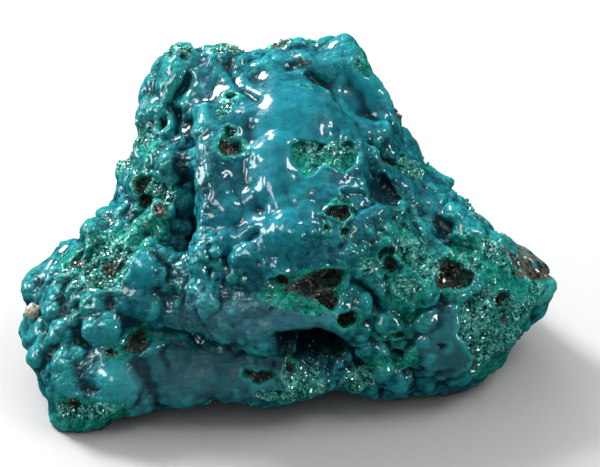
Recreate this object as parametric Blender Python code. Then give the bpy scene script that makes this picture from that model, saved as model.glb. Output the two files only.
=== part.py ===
"""Chrysocolla: one loose stone with a glazed, grape-like blue-green crust, broken flat underneath.

The stone is modelled in four steps. Ellipsoid masses give the bulk, and a ray from the heart finds its skin
in every direction. The skin is then drawn to the outline that the stone's show side has. Ridges, grooves,
lobes, knobs and pits go on that skin, each one at its own place. Last, the fine skin is thinned to few
faces and cut off flat where the stone lies.

All lengths are millimetres until the mesh is written in metres. The show side has a frame of its own:
across is +X, up runs up and back along the leaning face, and out points off the face to the viewer.
"""

import itertools
import math
from dataclasses import dataclass

import bmesh
import bpy
import numpy as np

MM = 0.001
NAME = "chrysocolla"

# Driving sizes
FACE_LEAN = math.radians(35.0)
FACE_MIDDLE = 31.0
VIEW_DISTANCE = 667.0
HEART = np.array((-3.0, 12.0, 22.0))
REACH = 90.0
GRID = 112
FACES = 11000
FLOOR_CUT = 0.0
BLEND = 7.0
BREAK_BLEND = 4.0
RAY_ROUNDS = 60
RAY_STEP = 0.7
PUSH_ROUNDS = 4
SLIDE_ROUNDS = 4
SLIDE_OFF = 0.1
BIG_SLIDE_OFF = 0.3
EDGE_SLOTS = 240
EDGE_DEPTH = 0.3
EDGE_BAND = 5.0
EDGE_SHARE = 0.10
HIDDEN_BELOW = 0.12
LARGE_LUMPS = 4.0
LUMP_REACH = 0.62
LUMP_RUN = 0.22
LUMP_DRIFT = 0.3

ACROSS = np.array((1.0, 0.0, 0.0))
UP = np.array((0.0, math.sin(FACE_LEAN), math.cos(FACE_LEAN)))
OUT = np.array((0.0, -math.cos(FACE_LEAN), math.sin(FACE_LEAN)))
CAVE_RUN = np.array((0.0, 0.97, 0.24))


@dataclass(frozen=True)
class Mass:
    """An ellipsoid of the bulk: centre and radii along X, Y, Z, leaned about X and turned about Z."""

    at: tuple
    radii: tuple
    lean: float = 0.0
    turn: float = 0.0


@dataclass(frozen=True)
class Break:
    """A flat break: what lies beyond the plane through the point, on the side of the normal, is gone."""

    at: tuple
    normal: tuple


@dataclass(frozen=True)
class Knob:
    """A ball that stands out of the skin: its place on the face, radius and height above the skin."""

    across: float
    up: float
    radius: float
    stand: float


@dataclass(frozen=True)
class Lobe:
    """A round-backed ridge along a path of places on the face."""

    path: tuple
    radius: float
    stand: float


@dataclass(frozen=True)
class Groove:
    """A crease along a path of places on the face."""

    path: tuple
    width: float
    depth: float


@dataclass(frozen=True)
class Pit:
    """A broken or dissolved hollow, oval: half-sizes, depth, and the height of its raised rim."""

    across: float
    up: float
    half: tuple
    depth: float
    rim: float = 0.0
    turn: float = 0.0


@dataclass(frozen=True)
class Hollow:
    """A sunken field inside an outline of places on the face, with walls of the given width."""

    outline: tuple
    depth: float
    wall: float


@dataclass(frozen=True)
class Cave:
    """A deep hollow that runs back under a lip: the outline of its mouth, its depth and its walls."""

    outline: tuple
    depth: float
    wall: float


@dataclass(frozen=True)
class Spread:
    """Lumps strewn over what the front hides: draws, sizes, height as a share of size, share of pits."""

    tries: int
    sizes: tuple
    stand: tuple
    pits: float
    seed: int


MASSES = (
    Mass((-4, 20, 24), (34, 25, 33)),
    Mass((-5, 31, 42), (29, 12, 20), lean=-10),
    Mass((2, 8, 28), (25, 21, 21), lean=-35),
    Mass((-5, -2, 23), (20, 15, 10)),
    Mass((-12, -4, 8), (28, 16, 9)),
    Mass((-34, 8, 15), (23, 20, 20)),
    Mass((-41, -9, 6), (13, 13, 9)),
    Mass((26, 8, 18), (24, 20, 18)),
    Mass((40, 12, 14), (13, 13, 10)),
    Mass((2, 28, 18), (38, 17, 24)),
)

BREAKS = (
    Break((0, 43, 20), (0.1, 1.0, 0.05)),
    Break((0, 0, -3), (0.0, 0.0, -1.0)),
)

# The outline of the show side, clockwise from the knob at the top left
OUTLINE = (
    (-32.6, 30.4), (-31.2, 34.0), (-30.6, 36.0), (-28.0, 38.4), (-27.0, 40.4), (-24.0, 42.0), (-21.2, 40.4),
    (-18.8, 40.4), (-17.4, 41.8), (-13.6, 41.2), (-10.6, 38.6), (-7.6, 40.8), (-4.0, 41.4), (0.0, 42.6),
    (4.0, 42.0), (9.6, 43.8), (11.8, 41.2), (13.8, 38.0), (15.0, 35.2), (18.0, 31.2), (20.0, 25.8),
    (22.4, 22.8), (24.6, 19.6), (24.0, 18.0), (28.2, 15.0), (31.4, 14.0), (32.2, 10.0), (35.8, 7.6),
    (38.0, 3.4), (41.6, 3.4), (44.4, 1.0), (48.0, -1.4), (52.0, -6.2), (51.4, -7.6), (50.4, -10.0),
    (48.6, -13.6), (45.0, -17.0), (42.0, -19.4), (41.8, -22.0), (38.4, -25.2), (33.0, -28.4), (28.6, -30.0),
    (24.0, -29.2), (19.0, -30.0), (14.0, -30.0), (9.0, -28.0), (6.0, -28.6), (0.0, -30.2), (-6.4, -31.8),
    (-12.0, -30.6), (-17.0, -30.4), (-24.0, -31.8), (-32.0, -33.0), (-37.0, -34.8), (-42.0, -36.4),
    (-48.0, -37.8), (-50.0, -35.0), (-50.8, -31.0), (-52.4, -26.0), (-55.0, -22.6), (-56.6, -17.0),
    (-55.6, -14.4), (-55.2, -10.0), (-56.2, -6.0), (-54.0, -3.2), (-50.4, -2.2), (-48.2, 0.4), (-46.0, 3.4),
    (-42.6, 4.8), (-41.2, 8.2), (-36.0, 9.6), (-37.0, 12.4), (-36.8, 16.4), (-33.2, 19.2), (-32.4, 22.4),
    (-33.4, 27.4),
)

# The big forms of the show side
FORMS = (
    Knob(-2, 31, 18, 2.0),
    Lobe(((2, 38.5), (7, 39.5), (11, 40)), 5, 1.6),
    Lobe(((12, 37.6), (15, 33), (17.4, 27.4)), 3.6, 2.4),
    Lobe(((15, 25), (19, 22.5), (23.6, 19)), 4.5, 2.2),
    Lobe(((-20.4, 27), (-19.6, 22), (-18.6, 16), (-17.8, 10), (-18.6, 5), (-18.4, 0)), 5.0, 2.8),
    Lobe(((-19, -12), (-15, -15), (-9, -16.2), (-2, -16.2), (4, -14.6)), 4.6, 2.6),
    Lobe(((24, 17), (29, 9), (34, 5), (40, 0.5)), 4.4, 2.2),
    Lobe(((-25, 37.6), (-26.4, 34), (-27.4, 30)), 3.4, 2.0),
    Lobe(((-35, -9.5), (-29, -12), (-23, -14)), 3.4, 1.8),
    Lobe(((-35, 3), (-31, 6), (-27, 9)), 3.2, 1.8),
    Knob(-37.8, -27.2, 5.0, 2.8),
    Knob(-32, -4, 5.5, 2.6),
    Knob(-28, 18, 4.6, 2.4),
    Knob(-34.4, 14.4, 4.2, 2.6),
    Knob(-10, -1.6, 8, 2.0),
    Knob(-3.4, 4, 8, 1.4),
    Knob(22, -8, 5, 2.4),
    Knob(30, -20, 10, 2.2),
    Knob(40, -14, 8, 1.8),
    Knob(-44, 3.4, 4, 1.8),
    Knob(-42, -15, 5, 2.2),
    Knob(17, -25, 4, 1.8),
    Groove(((-24, 25), (-24.6, 16), (-24.2, 9), (-24.4, 3)), 4.0, 5.0),
    Groove(((-23.4, 23), (-23.4, 14), (-22.8, 6), (-22.8, 2)), 2.0, 4.4),
    Groove(((4, 37), (9, 32), (14, 27.6)), 4.0, 1.6),
    Groove(((-31, -17), (-22, -17), (-17, -18.6), (-10, -20), (-4, -20)), 1.8, 3.0),
    Groove(((2, -19), (6, -19), (10, -20)), 2.2, 3.0),
    Groove(((-43, -20), (-43.8, -25), (-43, -30)), 2.2, 2.0),
    Groove(((-30, 12), (-33, 9), (-36, 4)), 2.0, 2.0),
    Groove(((16, 17), (20, 13), (24, 8), (29, 4), (34, 0)), 2.4, 2.6),
)

# Lobes, knobs and creases of middle size on the show side
MIDDLE_FORMS = (
    Knob(-24, 40.6, 2.2, 1.8),
    Lobe(((-18, 40.2), (-15, 40.8), (-12.6, 40.2)), 2.2, 1.5),
    Knob(-31, 35, 1.9, 1.1),
    Knob(-31.4, 31, 2.1, 1.2),
    Knob(-32, 27.6, 2.2, 1.2),
    Lobe(((-30, 30), (-28.5, 27), (-27, 24.4)), 2.0, 1.5),
    Knob(-31, 19, 1.8, 1.1),
    Lobe(((-29, 13), (-24, 10)), 1.8, 0.9),
    Knob(-28, 8.4, 1.8, 1.0),
    Knob(-25, 1.4, 2.6, 1.5),
    Knob(-24, 5, 2.5, 1.5),
    Knob(-28.5, 3.5, 2.2, 1.2),
    Knob(-40, 7.4, 2.2, 1.5),
    Knob(-37.6, 8, 2.2, 1.4),
    Knob(-46, 1, 2.2, 1.2),
    Knob(-53, -5, 3.0, 2.0),
    Knob(-50, -6, 1.8, 1.2),
    Knob(-51, -9, 2.2, 1.3),
    Knob(-55, -9, 1.8, 1.1),
    Knob(-52.8, -12.6, 2.0, 1.4),
    Knob(-54.4, -17, 3.0, 2.0),
    Knob(-50, -17, 2.4, 1.4),
    Knob(-48, -17.6, 1.9, 1.1),
    Knob(-53, -21, 3.0, 1.9),
    Knob(-48, -23, 2.6, 1.4),
    Knob(-42.4, -16, 2.4, 1.8),
    Knob(-39, -15.4, 3.2, 2.2),
    Lobe(((-30.6, -20), (-28, -18.4), (-24, -18)), 1.5, 0.9),
    Lobe(((-20, -2), (-19.2, -6), (-18.6, -10.6)), 2.5, 2.0),
    Knob(-8.4, 19.6, 5, 1.1),
    Knob(-12, 14.8, 4.4, 1.2),
    Knob(-9, 11.6, 4, 1.0),
    Knob(-5, 10, 4, 0.9),
    Knob(-3.6, 13.6, 4, 0.8),
    Knob(2, 5, 5, 1.1),
    Knob(-14, 8, 4.4, 1.2),
    Knob(-15, 3, 3.8, 1.0),
    Knob(0, 11, 4.4, 0.7),
    Knob(-15, 20, 4.4, 0.9),
    Knob(14, 3.6, 1.9, 1.1),
    Knob(18, 4.2, 2.0, 1.2),
    Knob(16.6, 1.4, 2.0, 1.3),
    Knob(21, 9, 3.0, 1.2),
    Knob(25.5, 4.5, 3.0, 1.4),
    Lobe(((12.4, -10), (11.8, -12.6), (11, -15)), 1.8, 1.2),
    Knob(9, -22, 2.4, 1.4),
    Knob(15, -20, 2.8, 2.2),
    Knob(18, -14.4, 3.0, 1.8),
    Knob(12.4, -16.4, 2.0, 1.2),
    Knob(21.8, -19.6, 1.7, 1.0),
    Knob(20.5, -27, 2.8, 1.5),
    Knob(17.4, -24.4, 2.6, 1.3),
    Knob(25, -14, 2.8, 1.3),
    Knob(26, -8.4, 3.0, 1.8),
    Knob(29, 13, 2.6, 1.9),
    Knob(31.4, 11, 2.2, 1.4),
    Knob(34, 8, 2.4, 1.6),
    Knob(41.6, 2.4, 2.2, 1.3),
    Knob(35, -2.4, 2.2, 1.1),
    Knob(26.4, -3.6, 2.2, 1.1),
    Lobe(((51, -7), (49, -10), (44, -14.4), (41, -19)), 1.9, 1.1),
    Knob(33, -26, 3.0, 1.3),
    Knob(26, -27, 3.0, 1.2),
    Groove(((-23.6, 36), (-24.4, 33), (-27.2, 29.4)), 1.1, 2.4),
    Groove(((-25.4, 28.4), (-25.6, 24.4)), 1.0, 2.4),
    Groove(((-21.6, 33), (-20.8, 30), (-21.8, 26)), 1.4, 0.5),
    Groove(((-17.4, 35), (-18.2, 31), (-17.2, 27)), 1.3, 0.5),
    Groove(((-10.6, 25), (-10.4, 19), (-12.2, 15.2), (-9.6, 11.8), (-8.8, 7), (-9.4, 3)), 2.6, 1.9),
    Lobe(((-4.4, 21), (-4.6, 16), (-6.4, 12)), 5.0, 1.4),
    Knob(-2.4, 4.4, 5.0, 1.7),
    Knob(1.6, 7.6, 3.6, 1.0),
    Groove(((-15.6, 38), (-12, 33), (-9, 31)), 0.9, 0.8),
    Groove(((2, 37), (6, 33.6), (9, 30), (11.6, 26.4)), 1.2, 1.2),
    Groove(((14.6, 22.4), (18, 20.6), (22.6, 18)), 1.1, 2.0),
    Groove(((-9, 3.4), (-14, 0.6), (-15.6, -2)), 1.0, 1.3),
    Groove(((-15, -7), (-9, -9), (-2, -9.6), (4, -12.6)), 1.0, 0.8),
    Groove(((33, -12.4), (35.6, -10), (38, -9)), 0.9, 2.0),
    Groove(((17, 0.4), (18.6, -3), (17.4, -5.4)), 1.1, 1.8),
    Groove(((11, -6), (14, -8), (16, -12)), 1.1, 1.8),
    Groove(((13, -23), (19, -22), (24, -17)), 1.2, 1.6),
    Groove(((-46, -12), (-44, -19)), 1.2, 1.2),
    Groove(((-32, 3), (-37, -1), (-38, -6)), 1.2, 1.2),
)

# Pits and broken places of the show side
PITS = (
    Pit(-24, 40.2, (0.9, 0.8), 0.8),
    Pit(-29, 26.2, (1.3, 2.2), 3.0, turn=-25),
    Pit(-22.6, 26, (2.0, 1.1), 0.9, turn=20),
    Pit(-14.2, 31.4, (1.4, 1.0), 1.4, rim=0.5),
    Pit(-14.4, 24, (1.1, 1.1), 1.3, rim=0.4),
    Pit(-14, 21, (2.6, 2.0), 2.0, rim=0.3),
    Pit(1, 34.2, (0.9, 0.6), 0.6),
    Pit(-0.5, 39.4, (2.8, 1.8), 1.0),
    Pit(12.6, 39.8, (1.0, 1.9), 1.2),
    Pit(17.6, 20, (1.2, 1.0), 0.8, rim=0.3),
    Pit(8, 7.6, (2.2, 1.4), 1.8, rim=0.7),
    Pit(9.2, 3.8, (0.8, 0.8), 1.3),
    Pit(5.6, 4.6, (0.7, 0.7), 1.2),
    Pit(9, -14, (2.1, 1.6), 3.0, rim=0.4),
    Pit(18.8, -3.2, (1.6, 1.4), 2.2),
    Pit(17.2, -0.2, (1.3, 1.0), 2.0),
    Pit(19.4, -20, (1.5, 1.2), 1.6, rim=0.4),
    Pit(19, -17, (1.3, 0.8), 1.0),
    Pit(-1.8, -24, (1.1, 1.7), 1.4, rim=0.3),
    Pit(-8.4, -25.6, (3.1, 1.1), 1.2, rim=0.4),
    Pit(-34, 14.4, (2.4, 2.0), 1.2, rim=0.5),
    Pit(-32.6, 10.4, (1.5, 1.2), 2.4),
    Pit(-38, -21, (1.9, 1.3), 0.8, rim=0.4),
    Pit(-47.6, -32, (2.0, 1.4), 0.9),
    Pit(-42, -33, (2.0, 1.2), 0.8),
    Pit(30, 5, (1.7, 2.3), 3.0),
    Pit(31.4, 1.6, (1.5, 1.5), 2.6),
    Pit(31, -5, (3.6, 3.0), 3.4, rim=0.6),
    Pit(21.6, -7.4, (2.4, 2.2), 1.0, rim=0.6),
    Pit(28.6, -19.6, (0.8, 0.7), 0.8),
    Pit(43, -10, (1.2, 1.0), 1.0),
    Pit(43, -15, (1.2, 1.0), 1.0),
    Pit(36, -23.4, (1.6, 1.0), 1.2),
    Hollow(((-6.6, -6.2), (-4, -5), (0, -5), (6, -3.6), (8.8, -4.6), (8.2, -8), (7, -12.4), (4, -11.2),
            (0, -10), (-4, -9), (-5.8, -7.8)), 4.2, 1.6),
    Cave(((-5, -17.4), (0, -16.8), (4, -16.4), (7, -17.6), (9.4, -19.4), (8, -21.4), (2, -21.2), (-4, -20.6)),
         9.0, 1.6),
    Hollow(((15, 15.6), (18.4, 15.2), (21.4, 12), (19.8, 9.6), (16, 11.2)), 3.0, 2.2),
    Hollow(((-1.8, 21), (0, 22.4), (3.4, 22.6), (6, 21), (10.4, 22.4), (12, 20.4), (11.4, 18), (9, 16.2),
            (5.4, 17), (1, 15.2), (-2, 18.2)), 1.1, 0.8),
    Hollow(((8.6, 12.2), (15.8, 12.4), (16.6, 10), (11.6, 7.4)), 1.3, 1.0),
    Hollow(((-46.8, -2.4), (-45, 1), (-40, 1.6), (-35, 0), (-36, -5), (-39, -8.6), (-44, -8), (-46.8, -5.4)),
           1.0, 1.2),
    Hollow(((-36.4, -20.6), (-33.6, -16.4), (-31.2, -15.8), (-30.2, -18), (-32.4, -20.6)), 2.2, 1.2),
    Hollow(((33, -11), (38, -8), (44, -9), (46.4, -12), (43, -17), (40, -20.4), (35.6, -21.4), (32.2, -17)),
           0.9, 1.0),
    Hollow(((43, 1.2), (48, -1.6), (52, -6.4), (46.4, -5.4), (44.8, -2.4)), 0.8, 1.0),
)

# Where lumps are few on the show side, or many: place, half-sizes and how smooth, below nought for knobbly
CALM = (
    (-1, 30, 12, 11, 0.95), (-8, 12, 12, 15, 0.8), (5, 12, 9, 7, 0.7), (-19, 32, 6, 7, 0.8),
    (-19, -25, 14, 5.5, 0.8),
    (30, -18, 5, 8, 0.8), (-37.6, -27.2, 4.5, 4.5, 0.95), (13, 31, 4.5, 8, 0.9), (0, -14.5, 12, 3, 0.7),
    (29, 10, 3, 5, 0.7), (-32, -4, 3.5, 3.5, 0.8), (-50, -8, 8, 16, -0.8), (-30, 10, 7, 16, -0.6),
    (22, -2, 8, 14, -0.7), (14, -24, 14, 6, -0.5), (-22, -3, 8, 8, -0.5),
)

# Lumps and pits of the sides, the back and the underside, spread by seeded draws from large to small
SPREADS = (
    Spread(tries=120, sizes=(8.0, 13.0), stand=(0.22, 0.34), pits=0.15, seed=4),
    Spread(tries=420, sizes=(3.6, 6.6), stand=(0.30, 0.55), pits=0.28, seed=11),
    Spread(tries=900, sizes=(1.8, 3.2), stand=(0.45, 0.75), pits=0.22, seed=23),
)

# Sheets of lumps over the whole skin: their spacing, their height and which ones
BUBBLES = ((8.0, 1.4, 3), (4.6, 1.0, 5))


def face_frame(points):
    """Across, up and out of each point, in the show side's frame."""
    local = points - np.array((0.0, 0.0, FACE_MIDDLE))
    return local @ ACROSS, local @ UP, local @ OUT


def as_seen(points):
    """Across and up of each point as the viewer sees them, where nearer things look larger."""
    across, up, out = face_frame(points)
    nearer = VIEW_DISTANCE / (VIEW_DISTANCE - out)
    return across * nearer, up * nearer


def smooth_least(a, b, blend):
    """The lesser of two fields, with the corner between them rounded over the blend width."""
    meet = np.maximum(blend - np.abs(a - b), 0.0) / blend
    return np.minimum(a, b) - meet * meet * blend / 4.0


def turned(lean, turn):
    """The matrix that leans about X and then turns about Z."""
    c, s = math.cos(math.radians(lean)), math.sin(math.radians(lean))
    d, t = math.cos(math.radians(turn)), math.sin(math.radians(turn))
    about_x = np.array(((1, 0, 0), (0, c, -s), (0, s, c)))
    about_z = np.array(((d, -t, 0), (t, d, 0), (0, 0, 1)))
    return about_z @ about_x


def bulk_field(points):
    """How far each point is outside the bulk: ellipsoids melted together, less what has broken off."""
    field = np.full(len(points), REACH * 2.0)
    for mass in MASSES:
        radii = np.array(mass.radii, dtype=float)
        local = (points - np.array(mass.at)) @ turned(mass.lean, mass.turn)
        near = np.linalg.norm(local / radii, axis=1)
        slope = np.linalg.norm(local / radii**2, axis=1)
        field = smooth_least(field, near * (near - 1.0) / np.maximum(slope, 1e-9), BLEND)
    for flat in BREAKS:
        normal = np.array(flat.normal) / np.linalg.norm(flat.normal)
        field = -smooth_least(-field, -((points - np.array(flat.at)) @ normal), BREAK_BLEND)
    return field


def skin_radii(directions):
    """How far the bulk's outermost skin is from the heart, in each direction."""
    radii = np.full(len(directions), REACH)
    for _ in range(RAY_ROUNDS):
        radii = radii - RAY_STEP * bulk_field(HEART + radii[:, None] * directions)
    return radii


def smooth_step(value):
    """Nought below nought, one above one, and a smooth rise between."""
    part = np.clip(value, 0.0, 1.0)
    return part * part * (3.0 - 2.0 * part)


def scrambled(cells, seed):
    """Three seeded numbers between nought and one for each whole-number cell."""
    x, y, z = (cells[:, axis].astype(np.uint64) for axis in range(3))
    code = x * np.uint64(73856093) ^ y * np.uint64(19349663) ^ z * np.uint64(83492791)
    code = code ^ np.uint64(seed * 2654435761)
    out = []
    for _ in range(3):
        code = (code ^ (code >> np.uint64(31))) * np.uint64(0x9E3779B97F4A7C15)
        code = code ^ (code >> np.uint64(29))
        out.append((code >> np.uint64(40)).astype(float) / 2.0**24)
    return np.stack(out, axis=1)


def noise(points, size, seed):
    """Smooth noise between minus one and one: random lattice values, blended across each cell."""
    cells = np.floor(points / size).astype(np.int64)
    part = points / size - cells
    ease = part * part * (3.0 - 2.0 * part)
    total = np.zeros(len(points))
    for corner in itertools.product((0, 1), repeat=3):
        weight = np.prod(np.where(np.array(corner) == 1, ease, 1.0 - ease), axis=1)
        total += weight * scrambled(cells + np.array(corner) + 1000, seed)[:, 0]
    return 2.0 * total - 1.0


def cell_distance(points, size, seed):
    """Distance from each point to the nearest of the seeds, one strewn in each cell of an even lattice."""
    cells = np.floor(points / size).astype(np.int64)
    best = np.full(len(points), np.inf)
    for step in itertools.product((-1, 0, 1), repeat=3):
        cell = cells + np.array(step)
        seeds = (cell + scrambled(cell + 1000, seed)) * size
        best = np.minimum(best, np.linalg.norm(points - seeds, axis=1))
    return best


def unit(vectors):
    """Each vector at length one."""
    return vectors / np.maximum(np.linalg.norm(vectors, axis=-1, keepdims=True), 1e-12)


def point_normals(points, quads):
    """The mean outward normal at each point of a grid of quads."""
    corner = points[quads]
    face = np.cross(corner[:, 2] - corner[:, 0], corner[:, 3] - corner[:, 1])
    total = np.stack([
        np.bincount(quads.ravel(), np.repeat(face[:, axis], 4), len(points)) for axis in range(3)
    ], axis=1)
    return unit(total)


def draw_to_outline(points):
    """Moves the skin across and up so that its edge, as seen from the front, is the outline."""
    middle = np.array(as_seen(HEART[None])).ravel()
    goal = np.array(OUTLINE) - middle
    goal_angle = np.arctan2(goal[:, 1], goal[:, 0])
    order = np.argsort(goal_angle)
    goal_angle, goal_reach = goal_angle[order], np.linalg.norm(goal, axis=1)[order]
    across, up = as_seen(points)
    across, up = across - middle[0], up - middle[1]
    angle, reach = np.arctan2(up, across), np.hypot(across, up)

    slot = ((angle + math.pi) / (2 * math.pi) * EDGE_SLOTS).astype(int) % EDGE_SLOTS
    edge = np.zeros(EDGE_SLOTS)
    np.maximum.at(edge, slot, reach)
    on_edge = reach > edge[slot] - EDGE_DEPTH
    edge_out = np.bincount(slot[on_edge], face_frame(points)[2][on_edge], EDGE_SLOTS)
    edge_out = edge_out / np.maximum(np.bincount(slot[on_edge], minlength=EDGE_SLOTS), 1)
    centres = (np.arange(EDGE_SLOTS) + 0.5) / EDGE_SLOTS * 2 * math.pi - math.pi
    wanted = np.interp(centres, goal_angle, goal_reach, period=2 * math.pi)

    def around(values, width):
        """A ring of values averaged with its neighbours, read at each point's own angle."""
        steps = np.arange(-3 * width, 3 * width + 1)
        weights = np.exp(-0.5 * (steps / width) ** 2)
        mean = sum(w * np.roll(values, s) for w, s in zip(weights, steps)) / weights.sum()
        return np.interp(angle, centres, mean, period=2 * math.pi)

    own_edge, own_broad = around(edge, 1), around(wanted, 4)
    own_fine = around(wanted, 1) - own_broad
    part_way = np.clip(reach / own_edge, 0.0, 1.0)
    local_across, local_up, out = face_frame(points)
    inwards = (1.0 - part_way) / EDGE_SHARE
    near_edge = np.exp(-(inwards**2) - ((out - around(edge_out, 3)) / EDGE_BAND) ** 2)
    scale = 1.0 + (own_broad / own_edge - 1.0) * part_way**2 + own_fine / own_edge * near_edge
    from_middle = (local_across - middle[0])[:, None] * ACROSS + (local_up - middle[1])[:, None] * UP
    return points + (scale - 1.0)[:, None] * from_middle


class Skin:
    """The stone's surface as one closed grid, with the forms that are put on it."""

    def __init__(self, directions, quads):
        self.quads = quads
        self.points = draw_to_outline(HEART + skin_radii(directions)[:, None] * directions)
        self.settle()
        self.bulk_facing = self.facing

    def beside(self, values):
        """The mean of each point's neighbours along the grid's lines, for values at the points."""
        before, after = np.roll(self.quads, 1, axis=1), np.roll(self.quads, -1, axis=1)
        pairs = values[before] + values[after]
        corners = self.quads.ravel()
        total = [np.bincount(corners, pairs[..., axis].ravel(), len(values)) for axis in range(3)]
        return np.stack(total, axis=1) / (2.0 * np.bincount(corners, minlength=len(values)))[:, None]

    def settle(self):
        """Works the normals and the places as seen out again, after the surface has moved."""
        self.normals = point_normals(self.points, self.quads)
        self.push = self.normals
        for _ in range(PUSH_ROUNDS):
            self.push = unit(self.push + 2.0 * self.beside(self.push))
        self.across, self.up = as_seen(self.points)
        self.out = face_frame(self.points)[2]
        self.facing = self.normals @ OUT

    def move(self, rise, ease=SLIDE_OFF):
        """Moves each point along its eased normal, then slides the points apart where they crowd.

        The ease is the share of a slide that may leave the surface, which rounds what is sharp.
        """
        self.points = self.points + rise[:, None] * self.push
        for _ in range(SLIDE_ROUNDS):
            normals = point_normals(self.points, self.quads)
            step = 0.5 * (self.beside(self.points) - self.points)
            off = np.einsum("ij,ij->i", step, normals)
            self.points = self.points + step - (1.0 - ease) * off[:, None] * normals
        self.settle()

    def place(self, across, up, about=1.0):
        """The point and the normal of the skin at a place on the show side."""
        away = np.hypot(self.across - across, self.up - up)
        in_front = self.facing > 0.02
        close = in_front & (away < about)
        if not close.any():
            close = in_front & (away < away[in_front].min() + 0.5)
        found = np.flatnonzero(close)
        top = found[np.argmax(self.out[found])]
        nearby = found[self.out[found] > self.out[top] - 4.0]
        return self.points[nearby].mean(axis=0), unit(self.normals[nearby].mean(axis=0))

    def trail(self, path, spacing):
        """The points and normals of the skin along a path of places, a rounded line between them."""
        corners = np.array(path, dtype=float)
        lengths = np.r_[0.0, np.cumsum(np.linalg.norm(np.diff(corners, axis=0), axis=1))]
        at = np.linspace(0.0, lengths[-1], max(2, int(lengths[-1] / spacing) + 1))
        spots = [self.place(np.interp(a, lengths, corners[:, 0]), np.interp(a, lengths, corners[:, 1]))
                 for a in at]
        return np.array([s[0] for s in spots]), unit(np.array([s[1] for s in spots]))

    def ball_rise(self, centre, radius):
        """How far each point moves out along its normal to lie on a ball, where its normal meets it.

        A skirt draws the ball in where the normal only just meets it, so that it has no sheer wall.
        """
        offset = self.points - centre
        along = np.einsum("ij,ij->i", offset, self.push)
        room = along**2 - (np.einsum("ij,ij->i", offset, offset) - radius**2)
        near = (room > 0.0) & (np.abs(along) < 2.0 * radius)
        skirt = 0.6 * radius * np.maximum(1.0 - room / (0.3 * radius**2), 0.0) ** 2
        return np.where(near, -along + np.sqrt(np.maximum(room, 0.0)) - skirt, -radius)

    def chain_distance(self, chain):
        """Distance from each point to the nearest point of a chain, joined by straight runs."""
        best = np.full(len(self.points), np.inf)
        for start, end in zip(chain[:-1], chain[1:]):
            run = end - start
            part = np.clip(((self.points - start) @ run) / max(run @ run, 1e-9), 0.0, 1.0)
            best = np.minimum(best, np.linalg.norm(self.points - start - part[:, None] * run, axis=1))
        return best

    def oval(self, spot, normal, form):
        """How far out each point is on the oval of a pit: one at its edge, with a ragged outline."""
        side = unit(ACROSS - (ACROSS @ normal) * normal)
        other = np.cross(normal, side)
        c, s = math.cos(math.radians(form.turn)), math.sin(math.radians(form.turn))
        offset = self.points - spot
        one = (offset @ side * c + offset @ other * s) / form.half[0]
        two = (offset @ other * c - offset @ side * s) / form.half[1]
        deep = offset @ normal / max(form.half)
        angle = np.arctan2(two, one)
        ragged = 1.0 + 0.13 * np.sin(3 * angle + spot[0]) + 0.09 * np.sin(5 * angle + spot[2])
        return np.sqrt(one**2 + two**2 + (0.5 * deep) ** 2) * ragged

    def inside(self, outline):
        """How far inside an outline each front point is, as seen from the front; negative outside."""
        corners = np.array(outline, dtype=float)
        best = np.full(len(self.points), np.inf)
        within = np.zeros(len(self.points), dtype=bool)
        for (x0, y0), (x1, y1) in zip(corners, np.roll(corners, -1, axis=0)):
            dx, dy = x1 - x0, y1 - y0
            part = np.clip(((self.across - x0) * dx + (self.up - y0) * dy) / (dx * dx + dy * dy), 0.0, 1.0)
            best = np.minimum(best, np.hypot(self.across - x0 - part * dx, self.up - y0 - part * dy))
            if dy != 0.0:
                level = (self.up > min(y0, y1)) & (self.up <= max(y0, y1))
                within ^= level & (self.across < x0 + (self.up - y0) * dx / dy)
        signed = np.where(within, best, -best)
        return np.where(self.facing > 0.0, signed, -REACH)

    def within(self, form):
        """One inside a hollow's ragged outline or a cave's smooth one, nought outside, over its wall."""
        depth_in = self.inside(form.outline)
        if isinstance(form, Hollow):
            depth_in = depth_in + 0.7 * noise(self.points, 2.2, 31)
        return smooth_step(depth_in / form.wall + 0.35)

    def form_change(self, form, crease, rise, sink):
        """The rise and sink of every point once one more form is on the skin."""
        if isinstance(form, Knob):
            spot, normal = self.place(form.across, form.up)
            ball = self.ball_rise(spot + (form.stand - form.radius) * normal, form.radius)
            return -smooth_least(-rise, -ball, crease), sink
        if isinstance(form, Lobe):
            spots, normals = self.trail(form.path, form.radius * 0.15)
            whole = np.full(len(self.points), -form.radius)
            for spot, normal in zip(spots, normals):
                ball = self.ball_rise(spot + (form.stand - form.radius) * normal, form.radius)
                whole = np.maximum(whole, ball)
            return -smooth_least(-rise, -whole, crease), sink
        if isinstance(form, Groove):
            spots, _ = self.trail(form.path, 2.0)
            away = self.chain_distance(spots) / form.width
            return rise, sink + form.depth * np.exp(-away * away)
        if isinstance(form, Pit):
            spot, normal = self.place(form.across, form.up)
            return self.pit_change(spot, normal, form, rise, sink)
        if isinstance(form, Hollow):
            return rise, sink + form.depth * self.within(form)
        return rise, sink

    def pit_change(self, spot, normal, form, rise, sink):
        """The rise and sink of every point once a pit is cut where the skin's spot and normal are."""
        out = self.oval(spot, normal, form)
        rise = rise + form.rim * np.exp(-(((out - 1.25) / 0.25) ** 2))
        return rise, sink + form.depth * (1.0 - smooth_step((out - 0.55) / 0.6))

    def apply(self, forms, crease=0.8):
        """Puts a group of forms on the skin at once: the highest wins, and hollows are cut from that."""
        rise = np.zeros(len(self.points))
        sink = np.zeros(len(self.points))
        for form in forms:
            rise, sink = self.form_change(form, crease, rise, sink)
        for cave in (form for form in forms if isinstance(form, Cave)):
            self.points = self.points + (cave.depth * self.within(cave))[:, None] * CAVE_RUN
        self.move(rise - sink, BIG_SLIDE_OFF if crease > 1.0 else SLIDE_OFF)

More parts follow.
